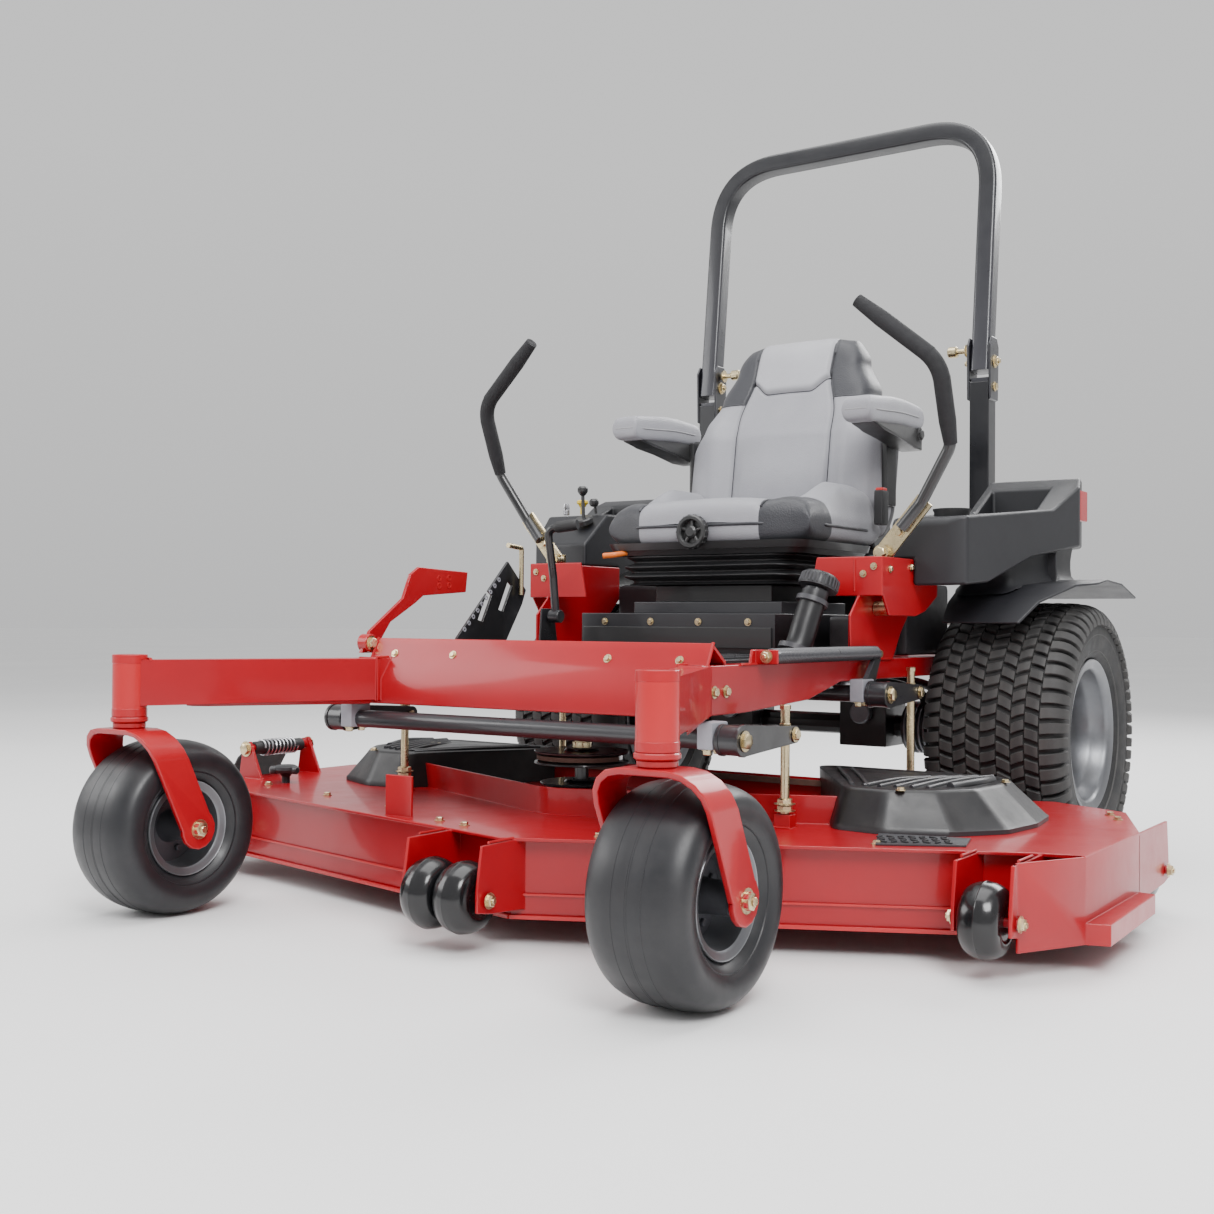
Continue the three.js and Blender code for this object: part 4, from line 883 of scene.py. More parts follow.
# step pad with a raised tread pattern
bm = bmesh.new()
plate(bm, [(622, -392), (664, -500), (790, -428), (770, -352), (700, -372)], 2, 183.2, 4.0, 1.2)
axis_u = (Vector((790, -428)) - Vector((664, -500))).normalized()
axis_v = Vector((-axis_u.y, axis_u.x))
for i in range(7):
    for j in range(4):
        c = Vector((664, -500)) + axis_u * (14 + i * 17.5) + axis_v * (12 + j * 19 - i * 0.5)
        turned = Matrix.Translation(P(c.x, c.y,
                                      188.4)) @ Matrix.Rotation(0.52 + (0.8 if (i + j) % 2 else -0.8), 4,
                                                                "Z")
        block(bm, (-6.5, -2, -1.6), (6.5, 2, 1.6), 0.8, turned)
place("step_pad", bm, "deck", COVER, "rubber", 35)

# ---------------------------------------------------------------- rollers

barrel = spline([(9, 30, 0), (26, 30.5, 0), (34, 32.6, 0), (44, 31, 0), (52, 25, 0), (57.6, 13, 0),
                 (60, 0, 0)], 6)
barrel = [(p.x, p.y) for p in barrel]
ROLLER_Z = 91
for name, (x, y) in {"nose_left": (103, -862), "nose_right": (32, -862), "front_left": (860, -530),
                     "front_right": (-860, -650), "rear_left": (925, 112),
                     "rear_right": (-850, 150)}.items():
    bm = bmesh.new()
    turn(bm, mm(barrel + [(r, -o) for r, o in reversed(barrel[:-1])]), P(x, y, ROLLER_Z), (1, 0, 0), 72)
    turn(bm, mm([(59.6, -1.2), (60.3, 0), (59.6, 1.2)]), P(x, y, ROLLER_Z), (1, 0, 0), 72)
    piece = place(f"roller_{name}_barrel", bm, NODE_BODY[f"roller_{name}"], ROLLER, "rubber")
    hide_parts(f"roller_{name}")

# ---------------------------------------------------------------- belts and covers

RIGHT_COVER_SHIFT = -40
LOWER = ((300, 35), (526, -372), (619, -384), (735, -330), (798, -245), (812, -130), (796, -10), (740, 35))
UPPER = ((312, 0), (534, -346), (619, -350), (692, -300), (738, -232), (748, -130), (738, -48), (700, 0))


def cover_rings():
    """Outlines of a belt cover from its foot to the rim of its raised top, in millimetres."""
    foot = rounded_loop(LOWER, 46, 8)
    head = rounded_loop(UPPER, 40, 8)
    cx, cy = 620, -150
    rings = [(foot, 183.4), (foot, 191)]
    for t, z in ((0.10, 196), (0.5, 221), (0.86, 243), (0.97, 250.5), (1.04, 254.6), (1.13, 256.0)):
        rings.append(([(x0 + (x1 - x0) * t, y0 + (y1 - y0) * t)
                       for (x0, y0), (x1, y1) in zip(foot, head)], z))
    last = rings[-1][0]
    for shrink, z in ((0.90, 257.0), (0.875, 255.0), (0.84, 254.6), (0.55, 258.4), (0.25, 260.0)):
        rings.append(([(cx + (x - cx) * shrink, cy + (y - cy) * shrink) for x, y in last], z))
    return rings


def on_cover(s, x, y, z):
    """A point given for the left cover, on the cover of side s."""
    return P(s * (x + (0 if s > 0 else RIGHT_COVER_SHIFT)), y, z)


for label, s in SIDES:
    bm = bmesh.new()
    skin(bm, [[bm.verts.new(on_cover(s, x, y, z)) for x, y in outline] for outline, z in cover_rings()])
    cover = place(f"belt_cover_{label}_moulded", bm, "deck", COVER, "dark_plastic", 40)
    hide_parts(f"belt_cover_{label}")
bm = bmesh.new()
for s in (1, -1):
    for k in range(5):
        a, b = Vector((560 + k * 26, -318 + k * 10)), Vector((606 + k * 22, -120 + k * 22))
        path = [(a.x, a.y, 256), (a.x * 0.5 + b.x * 0.5, a.y * 0.5 + b.y * 0.5, 260.4), (b.x, b.y, 257)]
        sweep(bm, spline([on_cover(s, *p) for p in path], 5), ring(0.0044, 10))
    for off in (0, 30):
        path = [(392 + off, -60, 256.5), (470 + off, -195, 258.5), (540 + off, -318, 256)]
        sweep(bm, spline([on_cover(s, *p) for p in path], 6), ring(0.0042, 10))
    path = [(690, -236, 255), (714, -150, 258.5), (706, -70, 255)]
    sweep(bm, spline([on_cover(s, *p) for p in path], 6), ring(0.009, 12))
place("cover_ribs", bm, "deck", COVER, "dark_plastic")
for s in (1, -1):
    for x, y in ((640, -340), (742, -100)):
        bolt("deck", on_cover(s, x, y, 256) * 1000, (0, 0, 1), 6.5, 4.5)
dress("deck_belt", BELT, 1.2)

for name, (x, y) in SPINDLE_AT.items():
    dress(f"blade_spindle_{name}", BLACK, 0.8, 1)
    body = NODE_BODY[f"blade_spindle_{name}"]
    bm = bmesh.new()
    sheaves = [(80, 212, 236)] + ([(92, 272, 296)] if name == "centre" else [])
    for r, z0, z1 in sheaves:
        turn(bm, mm([(20, z0), (r - 1.6, z0 - 0.6), (r, z0 + 0.8), (r - 1.0, z0 + 3.4),
                     (r - 13.6, z0 + 8.2), (r - 13.6, z1 - 8.2),
                     (r - 1.0, z1 - 3.4), (r, z1 - 0.8), (r - 1.6, z1 + 0.6), (r - 6, z1 + 0.8),
                     (r - 12, z1 + 0.6),
                     (34, z1 + 0.6), (30, z1 + 5), (20, z1 + 5)]), P(x, y, 0), (0, 0, 1), 72)
    place(f"sheave_{name}", bm, body, BLACK, "black_paint")
    bm = bmesh.new()
    top = sheaves[-1][2] + 14
    turn(bm, mm([(0, top + 1), (18, top + 1), (18, top - 8), (0, top - 8)]), P(x, y, 0), (0, 0, 1), 40,
         False)
    hexagon(bm, P(x, y, top + 1), (0, 0, 1), 14, 10, True)
    hexagon(bm, P(x, y, 50), (0, 0, -1), 15, 10, True)
    place(f"spindle_nut_{name}", bm, body, ZINC, "zinc")

# drive belt from the clutch to the raised sheave, held within the deck's lift
bm = bmesh.new()
loop = []
cx, cy = SPINDLE_AT["centre"]
for k in range(24):
    a = math.pi + math.pi * k / 23
    loop.append(P(cx + 82 * math.cos(a), cy + 82 * math.sin(a), 284))
sweep(bm, loop, [(-0.005, -0.006), (0.005, -0.004), (0.005, 0.004), (-0.005, 0.006)], True, (0, 0, 1))
place("drive_belt_turn", bm, "deck", BELT, "rubber")

# ---------------------------------------------------------------- discharge chute

dress("discharge_chute", HOSE, 1.6)
bm = bmesh.new()
coil(bm, (-900, -398, 249), 17.5, 16, 9, 0.7, ring(0.0022, 8))
place("chute_spring", bm, "chute", STEEL, "steel")
bm = bmesh.new()
rod(bm, P(-900, -446, 249), P(-900, -425, 249), 0.0095, 24, 0.001)
hexagon(bm, P(-900, -441, 249), (0, -1, 0), 13, 8, True)
hexagon(bm, P(-900, -251, 249), (0, 1, 0), 13, 8, True)
place("chute_pin", bm, "deck", ZINC, "zinc")

# ---------------------------------------------------------------- deck lift


def smooth_arm(bm, y, z, length, x):
    tip = y + length
    outline = []
    for k in range(13):
        a = math.radians(70 + 220 * k / 12)
        outline.append((y + 27 * math.cos(a), z + 27 * math.sin(a)))
    for k in range(9):
        a = math.radians(-80 + 160 * k / 8)
        outline.append((tip + 15 * math.cos(a), z + 15 * math.sin(a)))
    for x0 in (x - 22, x + 15):
        plate(bm, outline, 0, x0, 7, 1.0)
    rod(bm, P(x - 21, y, z), P(x + 21, y, z), 0.0252, 40, 0.001)


for node, (y, z), length in (("lift_shaft_front", FRONT_SHAFT, 188), ("lift_shaft_rear", REAR_SHAFT, 158)):
    body = NODE_BODY[node]
    bm = bmesh.new()
    rod(bm, P(-450, y, z), P(450, y, z), 0.0171, 40, 0.001)
    for s in (1, -1):
        smooth_arm(bm, y, z, length, s * 450)
    if node == "lift_shaft_rear":
        plate(bm, [(-17, 410), (65, 492), (81, 484), (31, 398)], 0, 412, 10, 1.2)
    piece = place(f"{node}_forged", bm, body, BLACK, "black_paint", 35, True)
    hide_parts(node)
    bm = bmesh.new()
    for s in (1, -1):
        rod(bm, P(s * 450 - 28, y + length - 6, z), P(s * 450 + 28, y + length - 6, z), 0.0062, 20, 0.001)
        hexagon(bm, P(s * 473, y, z), (s, 0, 0), 13, 8, True)
        hexagon(bm, P(s * 473, y + length - 6, z), (s, 0, 0), 10, 6, True)
    if node == "lift_shaft_rear":
        rod(bm, P(402, 70, 482), P(426, 70, 482), 0.0072, 20, 0.001)
    place(f"{node}_pins", bm, body, ZINC, "zinc")

bm = bmesh.new()
coil(bm, (416, -396, 484), 12.4, 12, 84, 456 / (84 * 12), ring(0.0021, 6))
rod(bm, P(416, -407, 484), P(416, -388, 484), 0.0105, 20, 0.002)
rod(bm, P(416, 54, 484), P(416, 68, 484), 0.0105, 20, 0.002)
spring = place("lift_spring_coil", bm, "chassis", BLACK, "black_paint")
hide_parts("lift_spring")
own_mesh(spring)
bolt("chassis", (416, -412, 484), (0, -1, 0), 9, 6, "zinc", True, 5)

dress("lift_pedal", RED, 1.6)
bm = bmesh.new()
turn(bm, mm([(8, 0), (17, 0), (18, 1), (18, 22), (17, 23), (8, 23)]), P(-417, -566, 498), (1, 0, 0), 40)
for dy, dz in ((-350, 634), (-318, 636), (-350, 618), (-318, 620)):
    turn(bm, mm([(4, -0.4), (6.5, -0.4), (6.5, 1.0), (4, 1.0)]), P(-404, dy, dz), (1, 0, 0), 20)
place("pedal_boss", bm, "pedal", RED, "red_paint")
bolt("pedal", (-394, -566, 498), (1, 0, 0), 11, 7)
dress("height_plate", BLACK, 1.0)
bm = bmesh.new()
for k in range(9):
    y, z = -398 + k * 14, 540 + k * 13.2
    turn(bm, mm([(2.4, 0), (5, 0), (5, 1.2), (2.4, 1.2)]), P(-296.8, y + 4, z - 14), (1, 0, 0), 16)
place("height_marks", bm, "chassis", CAST, None)
bm = bmesh.new()
rod(bm, P(-288, -215, 600), P(-288, -215, 692), 0.0052, 20, 0.001)
sweep(bm, rounded([P(-288, -215, 690), P(-288, -215, 702), P(-288, -262, 706)], 0.012), ring(0.0055, 14))
piece = place("height_pin_bent", bm, "height_pin", ZINC, "zinc")
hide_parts("height_pin")
bm = bmesh.new()
rod(bm, P(-264, -140, 555), P(-236, -140, 555), 0.0142, 32, 0.0015)
sweep(bm, rounded([P(-250, -140, 555), P(-250, -150, 640), P(-250, -172, 744), P(-186, -160, 753)], 0.02,
                  6),
      ring(0.0088, 20))
piece = place("brake_lever_bent", bm, "brake", BLACK, "black_paint")
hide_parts("brake_lever")
bm = bmesh.new()
sweep(bm, spline([P(-232, -169, 747.5), P(-206, -163.5, 750.5), P(-180, -158.5, 753.5)], 4),
      lambda t: ring(0.0125 if 0.08 < t < 0.92 else 0.0105, 20))
place("brake_grip", bm, "brake", HOSE, "rubber")

# ---------------------------------------------------------------- platform

dress("seat_platform", BLACK, 1.6)
bm = bmesh.new()
for x in range(-250, 251, 50):
    for y in range(-470, -110, 54):
        block(bm, (x - 14, y - 3, 477.4), (x + 14, y + 3, 481.0), 1.2)
block(bm, (-292, -488, 476.1), (292, -62, 478.6), 1.0)
place("foot_mat", bm, "chassis", COVER, "rubber", 35)
for x in (-180, -60, 60, 180):
    bolt("chassis", (x, -51.2, 545), (0, -1, 0), 6, 4)
bm = bmesh.new()
block(bm, (-236, -56, 490), (236, -50.5, 534), 2.4)
place("panel_plate", bm, "chassis", SHROUD, "black_paint", 35, True)

# wiring loom and modules in the shade under the seat
bm = bmesh.new()
block(bm, (-190, 60, 482), (-60, 180, 540), 5)
block(bm, (40, 20, 482), (120, 90, 530), 5)
for k in range(7):
    rod(bm, P(-176 + k * 17, 58, 500), P(-176 + k * 17, 40, 500), 0.006, 16, 0.001)
place("wiring_boxes", bm, "chassis", SHROUD, None, 35, True)
bm = bmesh.new()
for k in range(5):
    sweep(bm, spline([P(-170 + k * 17, 44, 500), P(-150 + k * 26, -20, 488),
                      P(-40 + k * 26, -30, 492 + k * 5),
                      P(60 + k * 20, -20, 500 + k * 5), P(150 + k * 8, 30, 486 + k * 4)], 6),
          ring(0.0042, 8))
place("wiring_loom", bm, "chassis", HOSE, None)

cap_from = P(332.5, -39, 614)
cap_axis = P(24, 52, 140).normalized()
bm = bmesh.new()
turn(bm, mm([(0, 31), (26, 31), (33, 29.5), (37, 26), (39.4, 20), (40.6, 6), (40, 0), (0, 0)]), cap_from,
     cap_axis, 64, False)
u = cap_axis.orthogonal().normalized()
w_axis = cap_axis.cross(u)
for k in range(28):
    a = 2 * math.pi * k / 28
    d = u * math.cos(a) + w_axis * math.sin(a)
    rod(bm, cap_from + d * 0.0392 + cap_axis * 0.003, cap_from + d * 0.0378 + cap_axis * 0.024, 0.0028, 8,
        0.0006)
piece = place("fuel_cap_ribbed", bm, "fuel_cap", COVER, "dark_plastic")
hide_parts("fuel_cap")
bm = bmesh.new()
neck = [P(306, -98, 476), P(313, -82, 500), P(320, -66, 545), P(330, -44, 606)]
sweep(bm, spline(neck, 6), ring(0.0272, 36))
for t, r in ((0.12, 0.034), (0.86, 0.033)):
    p = neck[0].lerp(neck[-1], t)
    turn(bm, [(0.02, -0.005), (r, -0.005), (r, 0.005), (0.02, 0.005)], p, cap_axis, 40)
place("filler_neck", bm, "chassis", COVER, "dark_plastic")

for label, _ in SIDES:
    dress(f"console_{label}", PLASTIC, 7.0, 3, 24)
for label, _ in SIDES:
    dress(f"fender_{label}", PLASTIC, 1.8, 2, 40)
bm = bmesh.new()
for s in (1, -1):
    x0, x1 = (256, 384) if s > 0 else (-384, -256)
    block(bm, (x0, 300, 474), (x1, 552, 636), 14)
    block(bm, (x0 + 20, 130, 474), (x1 - 20, 298, 560), 10)
place("inner_tanks", bm, "chassis", COVER, "dark_plastic", 35, True)


def between(table, at, ease=False):
    """A value read off a table of (place, value), in straight or eased steps."""
    for (p0, v0), (p1, v1) in zip(table, table[1:]):
        if at <= p1:
            t = (at - p0) / (p1 - p0)
            return v0 + (v1 - v0) * (t * t * (3 - 2 * t) if ease else t)
    return table[-1][1]


FENDER_TOP = ((330, 545), (370, 590), (440, 626), (560, 640), (680, 634), (800, 606))

# the moulded skirt between each console and its fender, pinched at the waist
bm = bmesh.new()
for s in (1, -1):
    plan = rounded_loop([(462, 392), (578, 404), (636, 560), (640, 660), (598, 742), (462, 742)], 34, 8)
    rows = []
    for t in (0.0, 0.06, 0.2, 0.4, 0.6, 0.8, 1.0):
        row = []
        for x, y in plan:
            waist = 1 - 0.05 * math.sin(math.pi * t) + 0.10 * max(0.0, 0.16 - t) / 0.16
            low = between(FENDER_TOP, y) + 4
            row.append(bm.verts.new(P(s * (545 + (x - 545) * waist), 570 + (y - 570) * waist,
                                      low + (724 - low) * t)))
        rows.append(row)
    skin(bm, rows)
place("fender_skirts", bm, "chassis", PLASTIC, "dark_plastic", 60)
bm = bmesh.new()
for s in (1, -1):
    block(bm, (s * 664 - 6, 610, 780), (s * 664 + 6, 668, 850), 4)
place("console_badges", bm, "chassis", RED, None, 35, True)
bm = bmesh.new()
turn(bm, mm([(33, 716), (36.5, 716), (37.2, 730), (37.4, 782), (40, 786), (40, 789), (36, 789), (35, 784),
             (33, 730)]),
     P(500, 262, 0), (0, 0, 1), 56)
place("cup_liner", bm, "chassis", HOSE, "rubber")

# ---------------------------------------------------------------- small controls

bm = bmesh.new()
rod(bm, P(-440, 285, 816), P(-440, 277, 840), 0.0036, 16)
turn(bm, mm([(0, 21), (8, 20), (12, 15), (12.4, 8), (9, 2), (4, 0), (0, 0)]), P(-440, 276, 832),
     (0, -0.1, 1), 32, False)
piece = place("throttle_ball", bm, "throttle", SHROUD, "black_paint")
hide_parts("throttle_lever")
bm = bmesh.new()
rod(bm, P(-490, 296, 816), P(-490, 296, 838), 0.0058, 20)
turn(bm, mm([(0, 17), (11, 17), (15, 14), (15, 9), (10, 5), (8, 0), (0, 0)]), P(-490, 296, 835), (0, 0, 1),
     32, False)
piece = place("pto_pull_knob", bm, "pto", YELLOW, "zinc")
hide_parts("pto_knob")
bm = bmesh.new()
rod(bm, P(-540, 296, 816), P(-540, 296, 829), 0.008, 24, 0.001)
plate(bm, [(287, 828), (305, 828), (307, 834), (304, 845), (288, 845), (285, 834)], 0, -542, 4, 0.8)
piece = place("ignition_key_bow", bm, "key", STEEL, "steel")
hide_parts("ignition_key")
bm = bmesh.new()
rod(bm, P(-440, 230, 800), P(-440, 226, 860), 0.0045, 16)
turn(bm, mm([(0, 24), (9, 23), (13, 18), (13, 10), (9, 4), (5, 0), (0, 0)]), P(-440, 226, 856), (0, 0, 1),
     32, False)
turn(bm, mm([(0, 6), (20, 6), (24, 3), (24, -8), (0, -8)]), P(-440, 230, 796), (0, -0.5, 1), 32, False)
place("choke_lever", bm, "chassis", SHROUD, "black_paint")

# ---------------------------------------------------------------- control levers

for label, s in SIDES:
    dress(f"control_arm_{label}", ZINC, 1.2)
    body = f"lever_{label}"
    low, knee = Vector((420, 91, 690)), Vector((502, 92, 788))
    wrist, bend, tip = Vector((572, 66, 900)), Vector((573, 2, 1056)), Vector((410, -25, 1192))

    def side(p):
        return P(s * p.x, p.y, p.z)
    bm = bmesh.new()
    rod(bm, P(s * 420, 105.7, 690), P(s * 420, 74, 690), 0.0142, 32, 0.0015)
    hexagon(bm, P(s * 420, 74, 690), (0, -1, 0), 12, 8, True)
    flat = [(-0.019, -0.0035), (0.019, -0.0035), (0.019, 0.0035), (-0.019, 0.0035)]
    along = knee - low
    sweep(bm, [side(low), side(low + along * 0.5), side(low + along), side(low + along * 1.08)], flat, True,
          (0, 1, 0))
    for t in (0.42, 0.62, 0.92):
        p = low + along * t
        hexagon(bm, P(s * p.x, p.y - 4, p.z), (0, -1, 0), 8, 6, True)
    piece = place(f"lever_bracket_{label}", bm, body, ZINC, "zinc")
    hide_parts(f"motion_lever_{label}")
    bm = bmesh.new()
    start = low.lerp(knee, 0.5)
    path = rounded([side(start + Vector((0, -12, 0))), side(knee + Vector((0, -8, 0))), side(wrist),
                    side(wrist.lerp(bend, 0.3))],
                   0.05, 8)
    sweep(bm, path, ring(0.0122, 28))
    place(f"lever_tube_{label}", bm, body, BLACK, "black_paint")
    bm = bmesh.new()
    path = rounded([side(wrist.lerp(bend, 0.02)), side(bend), side(tip)], 0.085, 14)
    fine = spline(path, 3)
    sweep(bm, fine, lambda t: ring(0.0172 if 0.012 < t < 0.988 else 0.0135, 32))
    place(f"lever_grip_{label}", bm, body, FOAM, "rubber")

# ---------------------------------------------------------------- seat

dress("seat_suspension", BLACK, 2.5)


def rounded_box_ring(half_x, y0, y1, corner, count=22):
    """Points round a rectangle with turned corners."""
    out = []
    cx, cy = half_x - corner, (y1 - y0) / 2 - corner
    mid = (y0 + y1) / 2
    for q, (sx, sy) in enumerate(((1, 1), (-1, 1), (-1, -1), (1, -1))):
        for k in range(count):
            a = math.pi / 2 * (q + k / (count - 1))
            out.append((sx * cx + corner * math.cos(a), mid + sy * cy + corner * math.sin(a)))
    return out


bm = bmesh.new()
rows = []
LEVELS = 60
for i in range(LEVELS + 1):
    t = i / LEVELS
    z = 628.6 + t * 66
    fold = math.sin(t * math.pi * 2 * 3.0 - 0.6)
    pull = 6 + 7 * fold + 14 * math.sin(math.pi * min(t * 1.1, 1)) * -0.4
    row = []
    for x, y in rounded_box_ring(214 - pull, 60 + pull, 422 - pull, 44, 22):
        ripple = 3.2 * noise.noise(Vector((x * 0.021, y * 0.021, t * 2.4 + 5)))
        out = Vector((x, y - 241)).normalized() * ripple
        sway = 2.0 * noise.noise(Vector((x * 0.02, y * 0.02, 9))) * math.sin(math.pi * t)
        row.append(bm.verts.new(P(x + out.x, y + out.y, z + sway)))
    rows.append(row)
skin(bm, rows)
boot = place("seat_boot_folds", bm, "chassis", BOOT, "rubber", 60)
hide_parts("seat_boot")
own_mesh(boot)

# a moulded pan under the cushion
bm = bmesh.new()
for z0, z1, grow in ((694.5, 706, 0), (706, 722, 12)):
    rows = []
    for z, g in ((z0, grow), (z1, grow + 6)):
        rows.append([bm.verts.new(P(x, y, z)) for x, y in rounded_box_ring(236 + g, 58 - g, 432, 46, 16)])
    skin(bm, rows)
place("seat_pan_tray", bm, "seat", SHROUD, "dark_plastic", 40)


def smooth_step(a, b, x):
    t = max(0.0, min(1.0, (x - a) / (b - a)))
    return t * t * (3 - 2 * t)


def groove(distance, width, depth):
    return -depth * math.exp(-(distance / width) ** 2)


# the cushion: a crowned closed form, its top dished between two raised side bolsters
def cushion_point(u, v, top):
    """u, v in -1..1 over the plan; returns the point in millimetres."""
    x = 258 * u
    y0 = 36 + 40 * smooth_step(0.42, 1.0, abs(u)) ** 1.2
    y = y0 + (442 - y0) * (v + 1) / 2
    edge = max(0.0, 1 - abs(u) ** 7) ** (1 / 3.2) * max(0.0, 1 - abs(v) ** 9) ** (1 / 3.4)
    middle_z = 757
    if not top:
        return x, y, middle_z - 47 * edge
    crown = 58 * edge
    bolster = smooth_step(0.60, 0.80, abs(u)) * (1 - smooth_step(0.93, 1.0, abs(u)))
    rear = smooth_step(-0.55, 0.1, v)
    crown += bolster * (8 + 48 * rear) * edge
    crown += 6 * math.sin(math.pi * (u / 1.2 + 0.5)) * (1 - smooth_step(0.5, 0.7, abs(u)))
    crown += groove(abs(u) - 0.59, 0.02, 6.5) * edge
    if abs(u) < 0.6:
        crown += groove(v + 0.55, 0.022, 3.5)
        crown += groove(v - 0.2, 0.022, 3.0)
    crown += groove(v + 0.42, 0.02, 5) * smooth_step(0.58, 0.62, abs(u))
    return x, y, middle_z + crown


def marks(stops, counts):
    """Parameter values from stop to stop, so that a row of the mesh lies on every seam."""
    out = []
    for (a, b), count in zip(zip(stops, stops[1:]), counts):
        for k in range(count):
            t = k / count
            if a == stops[0]:
                t = 1 - math.cos(t * math.pi / 2)
            if b == stops[-1]:
                t = math.sin(t * math.pi / 2)
            out.append(a + (b - a) * t)
    return out + [stops[-1]]


def build_pad(name, body, point, mats, pick, us, vs, wrinkle=1.2):
    bm = bmesh.new()
    grids = []
    nu, nv = len(us) - 1, len(vs) - 1
    for top in (True, False):
        grid = []
        for i in range(nu + 1):
            row = []
            for j in range(nv + 1):
                x, y, z = point(us[i], vs[j], top)
                if 0 < i < nu and 0 < j < nv:
                    d = noise.noise(Vector((x, y, z)) * 0.016) * wrinkle
                    d += noise.noise(Vector((x, y, z)) * 0.05) * wrinkle * 0.35
                    z += d if top else 0
                row.append(bm.verts.new(P(x, y, z)))
            grid.append(row)
        grids.append(grid)
    for g, grid in enumerate(grids):
        for i in range(nu):
            for j in range(nv):
                corners = (grid[i][j], grid[i + 1][j], grid[i + 1][j + 1], grid[i][j + 1])
                face = bm.faces.new(corners if g == 0 else corners[::-1])
                face.material_index = pick((us[i] + us[i + 1]) / 2, (vs[j] + vs[j + 1]) / 2, g == 0)
    bmesh.ops.remove_doubles(bm, verts=bm.verts, dist=0.0002)
    return place(name, bm, body, mats, "vinyl", 80)


def cushion_pick(u, v, top):
    return 1 if (abs(u) > 0.59 and v < -0.42) else 0


cushion = build_pad("cushion_sewn", "seat", cushion_point, [VINYL, VINYL_DARK], cushion_pick,
                    marks((-1, -0.59, 0.59, 1), (34, 56, 34)), marks((-1, -0.42, 1), (34, 60)))
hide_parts("seat_cushion")

def seam(bm, point, places, shift, radius):
    """Piping through places (u, v) on the front or top of a pad, set off by a shift in millimetres."""
    path = [P(*(c + d for c, d in zip(point(u, v, True), shift))) for u, v in places]
    sweep(bm, path, ring(radius, 8))


bm = bmesh.new()
for s in (1, -1):
    seam(bm, cushion_point, [(0.59 * s, -0.97 + 1.70 * k / 39) for k in range(40)], (2 * s, 0, 3.6), 0.0024)
line = []
for k in range(120):
    a = math.radians(148 + 244 * k / 119)
    u = max(-0.995, min(0.995, 1.16 * math.cos(a)))
    v = max(-0.995, min(0.995, 1.16 * math.sin(a)))
    x, y, z = cushion_point(u, v, False)
    line.append(P(x, y, 757) + Vector((u, v, 0)).normalized() * 0.0012)
sweep(bm, line, ring(0.0034, 10))
place("cushion_piping", bm, "seat", VINYL_DARK, "vinyl", 80)

# front adjuster: a ring knob with spokes
bm = bmesh.new()
knob_at, knob_axis = P(0, 33, 742), (0, -1, 0)
turn(bm, mm([(25, 0), (34, 0), (37, 4), (37, 18), (34, 22), (28, 22), (25, 18)]), knob_at, knob_axis, 56)
turn(bm, mm([(0, 0), (14, 0), (14, 19), (10, 23), (0, 23)]), knob_at, knob_axis, 40, False)
turn(bm, mm([(0, -2), (27, -2), (27, 8), (0, 8)]), knob_at, knob_axis, 40, False)
for k in range(5):
    a = 2 * math.pi * k / 5 + 0.3
    d = Vector((math.cos(a), 0, math.sin(a)))
    rod(bm, knob_at + d * 0.008 + Vector((0, -0.012, 0)), knob_at + d * 0.029 + Vector((0, -0.012, 0)),
        0.0042, 14)
for k in range(18):
    a = 2 * math.pi * k / 18
    d = Vector((math.cos(a), 0, math.sin(a)))
    rod(bm, knob_at + d * 0.0362 + Vector((0, -0.005, 0)), knob_at + d * 0.0362 + Vector((0, -0.018, 0)),
        0.0024, 8, 0.0006)
place("seat_knob", bm, "seat", SHROUD, "dark_plastic")
bm = bmesh.new()
sweep(bm, rounded([P(-196, 60, 702), P(-212, 30, 696), P(-236, 22, 694)], 0.01), ring(0.0065, 14))
place("slide_handle", bm, "seat", KNOB_ORANGE, None)


# The backrest, with side bolsters, a centre panel and a headrest panel.
def front_y(z):
    if z < 1000:
        return 404 + (z - 780) * 0.15 + 8 * smooth_step(800, 720, z)
    return 437 + (z - 1000) * 0.375


def rear_y(z):
    return 545 + (z - 740) * 0.16 if z < 1150 else 610 - (z - 1150) * 0.02


HALF_WIDTH = ((740, 252), (820, 262), (960, 262), (1030, 236), (1100, 206), (1180, 172), (1250, 150))
BACK_SEAM, HEAD_SEAM = 0.5, 0.42


def panel_half(z):
    return 128 - 26 * smooth_step(1040, 1160, z)


def head_line(x):
    return 1108 + 30 * smooth_step(56, 104, abs(x))


